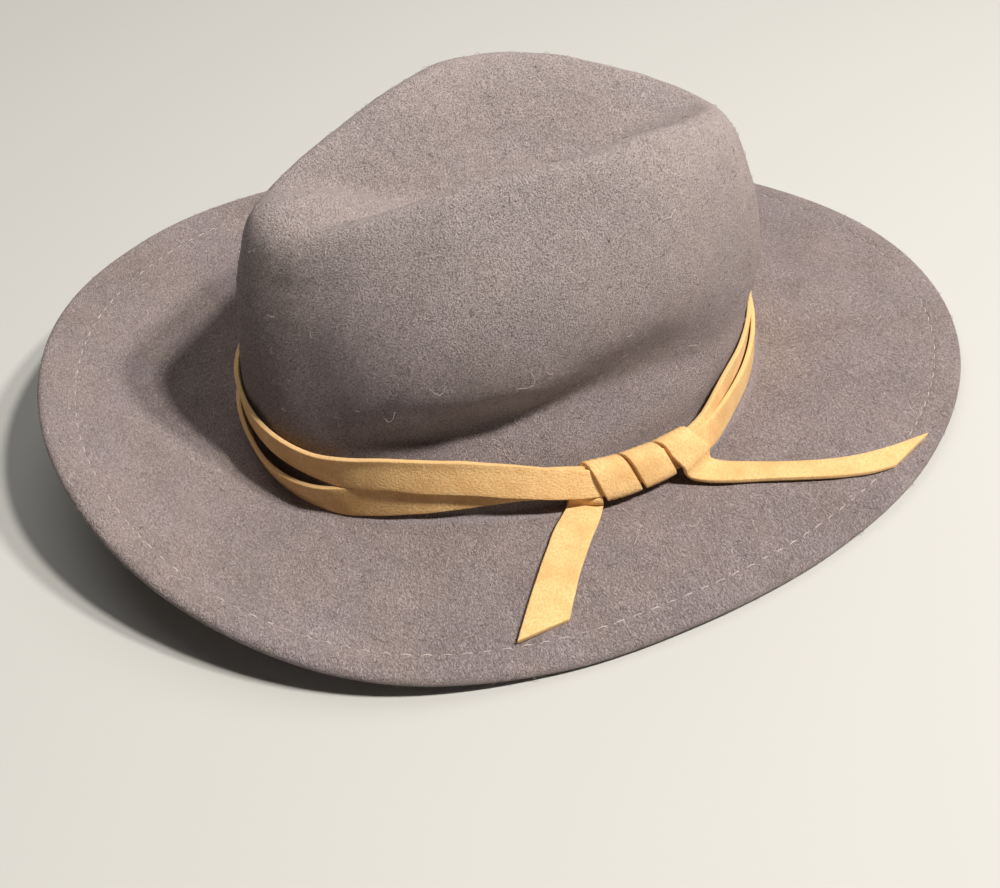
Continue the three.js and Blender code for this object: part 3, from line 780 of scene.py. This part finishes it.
    # the pressed fold at the foot of the crown catches the light as a thin cooler line
    fold = add(tree, "ShaderNodeAttribute", attribute_name="crease")
    fold = add(tree, "ShaderNodeMath", {0: (fold, "Fac"), 1: 0.55}, operation="MULTIPLY")
    base = add(tree, "ShaderNodeMix", {"Factor": (fold, "Value"), 6: (base, 2),
                                       7: colour(settings.fold_highlight_colour)}, data_type="RGBA")
    fine = add(tree, "ShaderNodeMath", {0: (grain, "Fac"), 1: pale}, operation="ADD")
    height = add(tree, "ShaderNodeMath", {0: (fine, "Value"), 1: dark}, operation="SUBTRACT")
    bump = add(tree, "ShaderNodeBump", {"Height": (height, "Value"), "Strength": 0.8,
                                        "Distance": 0.00035})
    skin = add(tree, "ShaderNodeBsdfPrincipled", {
        "Base Color": (base, 2), "Normal": (bump, "Normal"), "Roughness": 0.95,
        "Specular IOR Level": 0.15, "Sheen Weight": 0.35, "Sheen Roughness": 0.45,
        "Sheen Tint": colour(linear("#cdbfb8"))})
    add(tree, "ShaderNodeOutputMaterial", {"Surface": (skin, "BSDF")})
    return material


# Suede lace, split and buffed: a short even nap that is pale where it stands up and
# darker where it is rubbed flat, with raw orange-brown cut edges
def buffed_suede(settings):
    material, tree = new_material("buffed_suede")
    place = add(tree, "ShaderNodeTexCoord")
    nap = add(tree, "ShaderNodeTexNoise", {
        "Vector": (place, "Object"), "Scale": 1 / (LACE_NAP * MM), "Detail": 3.0,
        "Roughness": 0.7})
    rubbed = add(tree, "ShaderNodeTexNoise", {
        "Vector": (place, "Object"), "Scale": 1 / (LACE_RUBBED * MM), "Detail": 3.0,
        "Roughness": 0.6})
    # the lace's own lengths, in millimetres
    along = add(tree, "ShaderNodeAttribute", attribute_name="along")
    across = add(tree, "ShaderNodeAttribute", attribute_name="across")
    strand = add(tree, "ShaderNodeCombineXYZ", {"X": (along, "Fac"), "Y": (across, "Fac")})
    strand = add(tree, "ShaderNodeMapping", {
        "Vector": (strand, "Vector"),
        "Scale": (1 / LACE_STRAND_LENGTH, 1 / LACE_STRAND_WIDTH, 1.0)})
    brushed = add(tree, "ShaderNodeTexNoise", {"Vector": (strand, "Vector"), "Scale": 1.0,
                                               "Detail": 2.0})
    worn = add(tree, "ShaderNodeMapRange", {"Value": (rubbed, "Fac"), "From Min": 0.42,
                                            "From Max": 0.66, "To Max": 0.7})
    base = add(tree, "ShaderNodeMix", {"Factor": (worn, "Result"),
                                       6: colour(settings.face_colour),
                                       7: colour(settings.rubbed_colour)}, data_type="RGBA")
    speck = add(tree, "ShaderNodeMath", {0: (nap, "Fac"), 1: (brushed, "Fac")}, operation="ADD")
    speck = add(tree, "ShaderNodeMapRange", {"Value": (speck, "Value"), "From Min": 0.9,
                                             "From Max": 1.2, "To Max": 0.75})
    base = add(tree, "ShaderNodeMix", {"Factor": (speck, "Result"), 6: (base, 2),
                                       7: colour(settings.rubbed_colour)}, data_type="RGBA")
    raw = add(tree, "ShaderNodeAttribute", attribute_name="cut_edge")
    raw = add(tree, "ShaderNodeMapRange", {"Value": (raw, "Fac"), "From Min": 0.25,
                                           "From Max": 0.9, "To Max": 0.9})
    base = add(tree, "ShaderNodeMix", {"Factor": (raw, "Result"), 6: (base, 2),
                                       7: colour(settings.edge_colour)}, data_type="RGBA")
    height = add(tree, "ShaderNodeMath", {0: (nap, "Fac"), 1: (brushed, "Fac")}, operation="ADD")
    bump = add(tree, "ShaderNodeBump", {"Height": (height, "Value"), "Strength": 0.8,
                                        "Distance": 0.0003})
    skin = add(tree, "ShaderNodeBsdfPrincipled", {
        "Base Color": (base, 2), "Normal": (bump, "Normal"), "Roughness": 0.9,
        "Specular IOR Level": 0.2, "Sheen Weight": 0.25, "Sheen Roughness": 0.4,
        "Sheen Tint": colour(linear("#ffe9c4"))})
    add(tree, "ShaderNodeOutputMaterial", {"Surface": (skin, "BSDF")})
    return material


# Spun thread and single loose fibres: matt, with a little variation from one to the next
def plain_fibre(name, rgb, roughness, sheen):
    material, tree = new_material(name)
    place = add(tree, "ShaderNodeTexCoord")
    vary = add(tree, "ShaderNodeTexNoise", {"Vector": (place, "Object"),
                                            "Scale": 1 / (THREAD_SHADE * MM), "Detail": 2.0})
    shade = add(tree, "ShaderNodeMapRange", {"Value": (vary, "Fac"), "From Min": 0.3,
                                             "From Max": 0.7, "To Min": 0.7, "To Max": 1.15})
    base = add(tree, "ShaderNodeMix", {"Factor": 1.0, 6: colour(rgb), 7: (shade, "Result")},
               data_type="RGBA", blend_type="MULTIPLY")
    skin = add(tree, "ShaderNodeBsdfPrincipled", {
        "Base Color": (base, 2), "Roughness": roughness, "Specular IOR Level": 0.25,
        "Sheen Weight": sheen, "Sheen Roughness": 0.4})
    add(tree, "ShaderNodeOutputMaterial", {"Surface": (skin, "BSDF")})
    return material


# Matt paper roll, even, with no pattern that would draw the eye
def plain_paper(rgb):
    material, tree = new_material("matt_paper")
    skin = add(tree, "ShaderNodeBsdfPrincipled", {
        "Base Color": colour(rgb), "Roughness": 0.9, "Specular IOR Level": 0.1})
    add(tree, "ShaderNodeOutputMaterial", {"Surface": (skin, "BSDF")})
    return material


def paint(made, material):
    made.data.materials.clear()
    made.data.materials.append(material)
    made.data.polygons.foreach_set("material_index", [0] * len(made.data.polygons))


# Runs a node tree on an object once and keeps the plain mesh that comes out
def settle(made, tree, values):
    modifier = made.modifiers.new("pattern", "NODES")
    modifier.node_group = tree
    for item in tree.interface.items_tree:
        if item.item_type == "SOCKET" and item.in_out == "INPUT" and item.name in values:
            modifier[item.identifier] = values[item.name]
    graph = bpy.context.evaluated_depsgraph_get()
    graph.update()
    mesh = bpy.data.meshes.new_from_object(made.evaluated_get(graph))
    made.modifiers.remove(modifier)
    old = made.data
    made.data = mesh
    mesh.name = made.name
    bpy.data.meshes.remove(old)


def new_tree(name, inputs):
    tree = bpy.data.node_groups.new(name, "GeometryNodeTree")
    tree.interface.new_socket("Geometry", in_out="INPUT", socket_type="NodeSocketGeometry")
    for key, kind in inputs:
        tree.interface.new_socket(key, in_out="INPUT", socket_type=kind)
    tree.interface.new_socket("Geometry", in_out="OUTPUT", socket_type="NodeSocketGeometry")
    return tree, add(tree, "NodeGroupInput")


# A short arched thread, its two ends dipping below the surface it stands on
def arched_thread(tree, given, sides, steps):
    half = add(tree, "ShaderNodeMath", {0: (given, "Length"), 1: 0.5}, operation="MULTIPLY")
    back = add(tree, "ShaderNodeMath", {0: (half, "Value"), 1: -1.0}, operation="MULTIPLY")
    low = add(tree, "ShaderNodeMath", {0: (given, "Dip"), 1: -1.0}, operation="MULTIPLY")
    start = add(tree, "ShaderNodeCombineXYZ", {"X": (back, "Value"), "Z": (low, "Value")})
    crest = add(tree, "ShaderNodeCombineXYZ", {"Y": (given, "Bend"), "Z": (given, "Rise")})
    stop = add(tree, "ShaderNodeCombineXYZ", {"X": (half, "Value"), "Z": (low, "Value")})
    arc = add(tree, "GeometryNodeCurveQuadraticBezier", {
        "Resolution": steps, "Start": (start, "Vector"), "Middle": (crest, "Vector"),
        "End": (stop, "Vector")})
    round_end = add(tree, "GeometryNodeCurvePrimitiveCircle", {
        "Resolution": sides, "Radius": (given, "Radius")})
    return add(tree, "GeometryNodeCurveToMesh", {
        "Curve": (arc, "Curve"), "Profile Curve": (round_end, "Curve"), "Fill Caps": True})


def finish_tree(tree, instances, material):
    real = add(tree, "GeometryNodeRealizeInstances", {"Geometry": instances})
    dressed = add(tree, "GeometryNodeSetMaterial", {"Geometry": (real, "Geometry"),
                                                    "Material": material})
    smooth = add(tree, "GeometryNodeSetShadeSmooth", {"Geometry": (dressed, "Geometry")})
    add(tree, "NodeGroupOutput", {"Geometry": (smooth, "Geometry")})


# Arch of a thread, in metres: height of the point that its middle is drawn towards, depth of
# its two ends, and how far a loose fibre is drawn sideways
STITCH_RISE = 0.0009
STITCH_DIP = 0.00045
FIBRE_RISE = 0.0011
FIBRE_DIP = 0.0001
FIBRE_BEND = 0.0006
# Rows of stitches, in millimetres: the upper one below the brim's upper face, and the lower
# one beyond its lower face, both measured where no groove is
TOP_SEAT = 0.25
UNDER_SEAT = 0.02
THREAD_INPUTS = [("Length", "NodeSocketFloat"), ("Radius", "NodeSocketFloat"),
                 ("Rise", "NodeSocketFloat"), ("Dip", "NodeSocketFloat"),
                 ("Bend", "NodeSocketFloat"), ("Seed", "NodeSocketInt")]


def stitch_tree(material):
    tree, given = new_tree("Running stitches", THREAD_INPUTS + [("Count", "NodeSocketInt")])
    path = add(tree, "GeometryNodeMeshToCurve", {"Mesh": (given, "Geometry")})
    even = add(tree, "GeometryNodeResampleCurve", {"Curve": (path, "Curve"),
                                                   "Count": (given, "Count")})
    thread = arched_thread(tree, given, 6, 6)
    away = add(tree, "GeometryNodeInputNamedAttribute", {"Name": "away"},
               data_type="FLOAT_VECTOR")
    stand = add(tree, "FunctionNodeAlignRotationToVector", {"Vector": (away, "Attribute")},
                axis="Z")
    run = add(tree, "GeometryNodeInputTangent")
    turned = add(tree, "FunctionNodeAlignRotationToVector", {
        "Rotation": (stand, "Rotation"), "Vector": (run, "Tangent")}, axis="X", pivot_axis="Z")
    wobble = add(tree, "FunctionNodeRandomValue", {0: (-0.02, -0.02, -0.05), 1: (0.02, 0.02, 0.05),
                                                   "Seed": (given, "Seed")},
                 data_type="FLOAT_VECTOR")
    turned = add(tree, "FunctionNodeRotateRotation", {
        "Rotation": (turned, "Rotation"), "Rotate By": (wobble, "Value")}, rotation_space="LOCAL")
    size = add(tree, "FunctionNodeRandomValue", {2: 0.88, 3: 1.1, "Seed": (given, "Seed")},
               data_type="FLOAT")
    rows = add(tree, "GeometryNodeInstanceOnPoints", {
        "Points": (even, "Curve"), "Instance": (thread, "Mesh"), "Rotation": (turned, "Rotation"),
        "Scale": (size, 1)})
    finish_tree(tree, (rows, "Instances"), material)
    return tree


def fibre_tree(material):
    tree, given = new_tree("Loose fibres", THREAD_INPUTS + [("Density", "NodeSocketFloat")])
    spots = add(tree, "GeometryNodeDistributePointsOnFaces", {
        "Mesh": (given, "Geometry"), "Density": (given, "Density"), "Seed": (given, "Seed")})
    thread = arched_thread(tree, given, 3, 4)
    spin = add(tree, "FunctionNodeRandomValue", {
        0: (-0.35, -0.35, 0.0), 1: (0.35, 0.35, 6.283), "Seed": (given, "Seed")},
        data_type="FLOAT_VECTOR")
    turned = add(tree, "FunctionNodeRotateRotation", {
        "Rotation": (spots, "Rotation"), "Rotate By": (spin, "Value")}, rotation_space="LOCAL")
    size = add(tree, "FunctionNodeRandomValue", {2: 0.5, 3: 1.35, "Seed": (given, "Seed")},
               data_type="FLOAT")
    field = add(tree, "GeometryNodeInstanceOnPoints", {
        "Points": (spots, "Points"), "Instance": (thread, "Mesh"),
        "Rotation": (turned, "Rotation"), "Scale": (size, 1)})
    finish_tree(tree, (field, "Instances"), material)
    return tree


# A closed line of points on or under the brim, with the direction that is up from the felt
def stitch_path(name, distance, depth, side, phase):
    degrees = np.arange(360) + phase
    points = brim_point(degrees, distance(degrees))
    away = brim_face(degrees, distance(degrees))
    points = points - away * depth
    mesh = bpy.data.meshes.new(name)
    edges = [(i, (i + 1) % len(points)) for i in range(len(points))]
    mesh.from_pydata((points * MM).tolist(), edges, [])
    layer = mesh.attributes.new("away", "FLOAT_VECTOR", "POINT")
    layer.data.foreach_set("vector", (away * side).ravel())
    made = bpy.data.objects.new(name, mesh)
    bpy.context.scene.collection.objects.link(made)
    return made, float(np.sum(np.linalg.norm(points - np.roll(points, 1, axis=0), axis=1)))


def felt_material():
    made = bpy.data.materials.get("brushed_wool_felt")
    return made or wool_felt(bpy.context.scene.fedora_felt)


def suede_material():
    made = bpy.data.materials.get("buffed_suede")
    return made or buffed_suede(bpy.context.scene.fedora_lace)


def length(name, description, default):
    return bpy.props.FloatProperty(name=name, description=description, default=default,
                                   min=0.0, unit="LENGTH", precision=5)


def tint(name, description, code):
    return bpy.props.FloatVectorProperty(name=name, description=description, subtype="COLOR",
                                         size=3, min=0.0, max=1.0, default=linear(code))


class FedoraFeltSettings(bpy.types.PropertyGroup):
    """Sizes and colours of the felt"""

    thickness: length("Felt", "Thickness of the crown and the brim", 0.0022)
    welt_thickness: length("Welt", "Thickness of the folded edge of the brim",
                           WELT_THICKNESS * MM)
    welt_width: length("Welt width", "How far the edge is folded in", 0.0115)
    stitch_inset: length("Stitch inset", "From the brim's edge to the row of stitches", 0.0106)
    unevenness: length("Unevenness", "How far hand pressing leaves the felt uneven", 0.0006)
    around: bpy.props.IntProperty(name="Around", description="Points round each ring of felt",
                                  default=288, min=32)
    wall_steps: bpy.props.IntProperty(name="Wall steps", default=8, min=2,
                                      description="Rings between two heights of the crown")
    cool_colour: tint("Cool", "Cooler patches of the felt", "#a3969a")
    warm_colour: tint("Warm", "Warmer patches of the felt", "#a99a97")
    dark_colour: tint("Dark", "Dark fibres and shaded patches", "#5f5350")
    # also the colour of the painted light on the top of the crown
    pale_colour: tint("Pale", "Pale fibres in the felt", "#cfc3c0")
    # painted highlight: the thin cooler line of light along the fold at the foot of the crown
    fold_highlight_colour: tint("Fold", "Pressed fold at the foot of the crown", "#aba2a8")
    # painted light: how much paler the top of the crown is drawn, where it faces the softboxes
    painted_top_light: bpy.props.FloatProperty(name="Fading", default=0.6, min=0, max=1,
                                    description="How pale the top of the crown has become")
    pale_fibres: bpy.props.FloatProperty(name="Pale fibres", default=0.7, min=0, max=1,
                                         description="How strongly pale fibres show")
    dark_fibres: bpy.props.FloatProperty(name="Dark fibres", default=0.6, min=0, max=1,
                                         description="How strongly dark fibres show")


class FedoraLaceSettings(bpy.types.PropertyGroup):
    """Sizes and colours of the lace"""

    width: length("Width", "Width of the lace in the knot and its free ends", 0.0125)
    turn_width: length("Turn width", "Width of the lace pulled tight round the crown", 0.0118)
    thickness: length("Thickness", "Thickness of the lace", 0.0017)
    corner: length("Corner", "Rounding of its cut corners", 0.00045)
    face_colour: tint("Face", "Nap standing up", "#f3cc90")
    rubbed_colour: tint("Rubbed", "Nap rubbed flat", "#dcab6f")
    edge_colour: tint("Cut edge", "Raw cut edge", "#ecc389")


class FedoraStitchSettings(bpy.types.PropertyGroup):
    """Sizes and colour of the running stitches through the welt"""

    pitch: length("Pitch", "From one stitch to the next", 0.0062)
    length: length("Length", "Length of the thread that shows", 0.0037)
    radius: length("Thread radius", "Half the thickness of the thread", 0.00018)
    thread_colour: tint("Thread", "Colour of the thread", "#c9c0b9")


class FedoraFibreSettings(bpy.types.PropertyGroup):
    """Loose fibres that stand off the felt"""

    # thicker than real fibres, so that they show
    density: bpy.props.FloatProperty(name="Density", default=15000.0, min=0,
                                     description="Loose fibres in a square metre")
    length: length("Length", "Length of a loose fibre", 0.0020)
    radius: length("Radius", "Half the thickness of a loose fibre", 0.00005)
    long_length: length("Long hairs", "Length of a long stray hair", 0.0065)
    long_share: bpy.props.FloatProperty(name="Share of long hairs", default=0.02, min=0,
                                        description="Long hairs for each short loose fibre")
    seed: bpy.props.IntProperty(name="Seed", description="Where the fibres fall", default=7)
    pale_colour: tint("Pale", "Pale loose fibres", "#c9bdb4")
    dark_colour: tint("Dark", "Dark loose fibres", "#54483f")
    long_colour: tint("Long", "Long stray hairs", "#f2ece4")


class FedoraStageSettings(bpy.types.PropertyGroup):
    """Floor, light and camera"""

    floor_colour: tint("Floor", "Colour of the plain floor", "#c4c4c0")
    key_power: bpy.props.FloatProperty(name="Key", description="Power of the main softbox",
                                       default=25.0, min=0, unit="POWER")
    second_power: bpy.props.FloatProperty(name="Second", default=21.0, min=0, unit="POWER",
                                          description="Power of the second softbox")
    broad_power: bpy.props.FloatProperty(name="Broad", default=14.0, min=0, unit="POWER",
                                         description="Power of the wide softbox above")
    fill: bpy.props.FloatProperty(name="Fill", description="Strength of the light all round",
                                  default=0.06, min=0)


class FEDORA_OT_felt_body(bpy.types.Operator):
    """Crown and brim, one pressed piece of felt with its edge folded under"""

    bl_idname = "fedora.felt_body"
    bl_label = "Felt body"

    def execute(self, context):
        made = build_felt_body(context.scene.fedora_felt)
        paint(made, felt_material())
        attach(made, "root")
        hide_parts("felt_body")
        return {"FINISHED"}


class FEDORA_OT_lace_turns(bpy.types.Operator):
    """Flat lace wound twice round the foot of the crown"""

    bl_idname = "fedora.lace_turns"
    bl_label = "Lace turns"

    def execute(self, context):
        made = build_lace_turns(context.scene.fedora_lace)
        paint(made, suede_material())
        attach(made, "root")
        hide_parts("lace_turns")
        return {"FINISHED"}


class FEDORA_OT_lace_knot(bpy.types.Operator):
    """Lace coiled round the two turns, its ends lying on the brim"""

    bl_idname = "fedora.lace_knot"
    bl_label = "Lace knot"

    def execute(self, context):
        made = build_lace_knot(context.scene.fedora_lace)
        paint(made, suede_material())
        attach(made, "root")
        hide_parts("lace_knot")
        return {"FINISHED"}


class FEDORA_OT_stitches(bpy.types.Operator):
    """Running stitches through the welt, seen on both faces of the brim"""

    bl_idname = "fedora.stitches"
    bl_label = "Stitches"

    def execute(self, context):
        felt = context.scene.fedora_felt
        sizes = context.scene.fedora_stitches
        welt = felt.welt_thickness / MM
        # cotton thread, spun: matt and near white
        thread = plain_fibre("spun_cotton_thread", sizes.thread_colour, roughness=0.8, sheen=0.2)
        tree = stitch_tree(thread)

        def line(degrees):
            return brim_level_reach(degrees, welt) - felt.stitch_inset / MM

        rows = (("stitches_top", TOP_SEAT, 1, 0), ("stitches_under", welt + UNDER_SEAT, -1, 180))
        for name, depth, side, phase in rows:
            made, around = stitch_path(name, line, depth, side, phase)
            settle(made, tree, {
                "Length": sizes.length, "Radius": sizes.radius, "Rise": STITCH_RISE,
                "Dip": STITCH_DIP, "Bend": 0.0, "Seed": 3,
                "Count": round(around * MM / sizes.pitch)})
            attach(made, "root")
        return {"FINISHED"}


class FEDORA_OT_fibres(bpy.types.Operator):
    """Loose fibres that stand off the felt's surface"""

    bl_idname = "fedora.fibres"
    bl_label = "Loose fibres"

    def execute(self, context):
        sizes = context.scene.fedora_fibres
        felt = bpy.data.objects["felt_body_soft"]
        kinds = (("pale", sizes.pale_colour, 0, 1, 1),
                 ("dark", sizes.dark_colour, 1, 1, 1),
                 ("long", sizes.long_colour, 2, sizes.long_length / sizes.length,
                  sizes.long_share))
        for kind, rgb, step, longer, share in kinds:
            # wool fibre, brushed up from the felt: matt, with a soft sheen
            fibre = plain_fibre(f"wool_fibre_{kind}", rgb, roughness=0.9, sheen=0.3)
            tree = fibre_tree(fibre)
            made = bpy.data.objects.new(f"felt_fibres_{kind}", felt.data.copy())
            context.scene.collection.objects.link(made)
            settle(made, tree, {
                "Length": sizes.length * longer, "Radius": sizes.radius, "Rise": FIBRE_RISE,
                "Dip": FIBRE_DIP, "Bend": FIBRE_BEND * longer**2, "Seed": sizes.seed + step,
                "Density": sizes.density * share})
            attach(made, "root")
        return {"FINISHED"}


def softbox(name, direction, distance, size, power, rgb):
    lamp = bpy.data.lights.new(name, "AREA")
    lamp.shape = "DISK"
    lamp.size = size
    lamp.energy = power
    lamp.color = rgb
    made = bpy.data.objects.new(name, lamp)
    way = Vector(direction).normalized()
    made.location = Vector((HEAD_X, HEAD_Y, LIT_HEIGHT)) * MM + way * distance
    made.rotation_euler = way.to_track_quat("Z", "Y").to_euler()
    bpy.context.scene.collection.objects.link(made)


def photo_camera():
    azimuth, elevation = math.radians(VIEW_AZIMUTH), math.radians(VIEW_ELEVATION)
    back = Vector((math.sin(azimuth) * math.cos(elevation),
                   -math.cos(azimuth) * math.cos(elevation), math.sin(elevation)))
    right = Vector((math.cos(azimuth), math.sin(azimuth), 0))
    up = back.cross(right)
    c, s = math.cos(math.radians(VIEW_ROLL)), math.sin(math.radians(VIEW_ROLL))
    right, up = right * c + up * s, up * c - right * s
    lens = bpy.data.cameras.new("photo_camera")
    lens.sensor_width = 36
    lens.lens = VIEW_FOCUS_PX / PHOTO_SIZE[0] * lens.sensor_width
    lens.shift_x = (PHOTO_SIZE[0] / 2 - VIEW_CENTRE_PX[0]) / PHOTO_SIZE[0]
    lens.shift_y = (VIEW_CENTRE_PX[1] - PHOTO_SIZE[1] / 2) / PHOTO_SIZE[0]
    lens.clip_start = 0.01
    made = bpy.data.objects.new("photo_camera", lens)
    place = Matrix((right, up, back)).transposed().to_4x4()
    place.translation = Vector((HEAD_X, HEAD_Y, 0)) * MM + back * VIEW_DISTANCE
    made.matrix_world = place
    bpy.context.scene.collection.objects.link(made)
    bpy.context.scene.camera = made


class FEDORA_OT_stage(bpy.types.Operator):
    """Plain floor, softboxes and the camera"""

    bl_idname = "fedora.stage"
    bl_label = "Stage"

    def execute(self, context):
        sizes = context.scene.fedora_stage
        low = CAD_BOX[0][2]
        mesh = bpy.data.meshes.new("floor")
        corners = [(x * FLOOR_HALF, y * FLOOR_HALF, low)
                   for x, y in ((-1, -1), (1, -1), (1, 1), (-1, 1))]
        mesh.from_pydata(corners, [], [(0, 1, 2, 3)])
        floor = bpy.data.objects.new("floor", mesh)
        context.scene.collection.objects.link(floor)
        paint(floor, plain_paper(sizes.floor_colour))
        powers = (sizes.key_power, sizes.second_power, sizes.broad_power)
        for (name, direction, distance, size, rgb), power in zip(SOFTBOXES, powers):
            softbox(name, direction, distance, size, power, rgb)
        world = bpy.data.worlds.new("studio")
        world.use_nodes = True
        world.node_tree.nodes["Background"].inputs["Color"].default_value = (1, 0.98, 0.96, 1)
        world.node_tree.nodes["Background"].inputs["Strength"].default_value = sizes.fill
        context.scene.world = world
        context.scene.view_settings.view_transform = "Standard"
        photo_camera()
        return {"FINISHED"}


class FEDORA_PT_panel(bpy.types.Panel):
    """Lists the fedora's pieces and their sizes"""

    bl_label = "Fedora"
    bl_idname = "FEDORA_PT_panel"
    bl_space_type = "VIEW_3D"
    bl_region_type = "UI"
    bl_category = "Fedora"

    def draw(self, context):
        for group, steps in GROUPS.items():
            box = self.layout.box()
            settings = getattr(context.scene, group)
            for key in settings.__annotations__:
                box.prop(settings, key)
            for step in steps:
                box.operator(step.bl_idname)


GROUPS = {
    "fedora_felt": (FEDORA_OT_felt_body,),
    "fedora_lace": (FEDORA_OT_lace_turns, FEDORA_OT_lace_knot),
    "fedora_stitches": (FEDORA_OT_stitches,),
    "fedora_fibres": (FEDORA_OT_fibres,),
    "fedora_stage": (FEDORA_OT_stage,),
}
SETTINGS = {
    "fedora_felt": FedoraFeltSettings,
    "fedora_lace": FedoraLaceSettings,
    "fedora_stitches": FedoraStitchSettings,
    "fedora_fibres": FedoraFibreSettings,
    "fedora_stage": FedoraStageSettings,
}


def register():
    for group, settings in SETTINGS.items():
        bpy.utils.register_class(settings)
        setattr(bpy.types.Scene, group, bpy.props.PointerProperty(type=settings))
        for step in GROUPS[group]:
            bpy.utils.register_class(step)
    bpy.utils.register_class(FEDORA_PT_panel)


def unregister():
    bpy.utils.unregister_class(FEDORA_PT_panel)
    for group, settings in SETTINGS.items():
        for step in GROUPS[group]:
            bpy.utils.unregister_class(step)
        delattr(bpy.types.Scene, group)
        bpy.utils.unregister_class(settings)


def main():
    register()
    bpy.ops.fedora.stage()
    bpy.ops.fedora.felt_body()
    bpy.ops.fedora.lace_turns()
    bpy.ops.fedora.lace_knot()
    bpy.ops.fedora.stitches()
    bpy.ops.fedora.fibres()


if __name__ == "__main__":
    main()
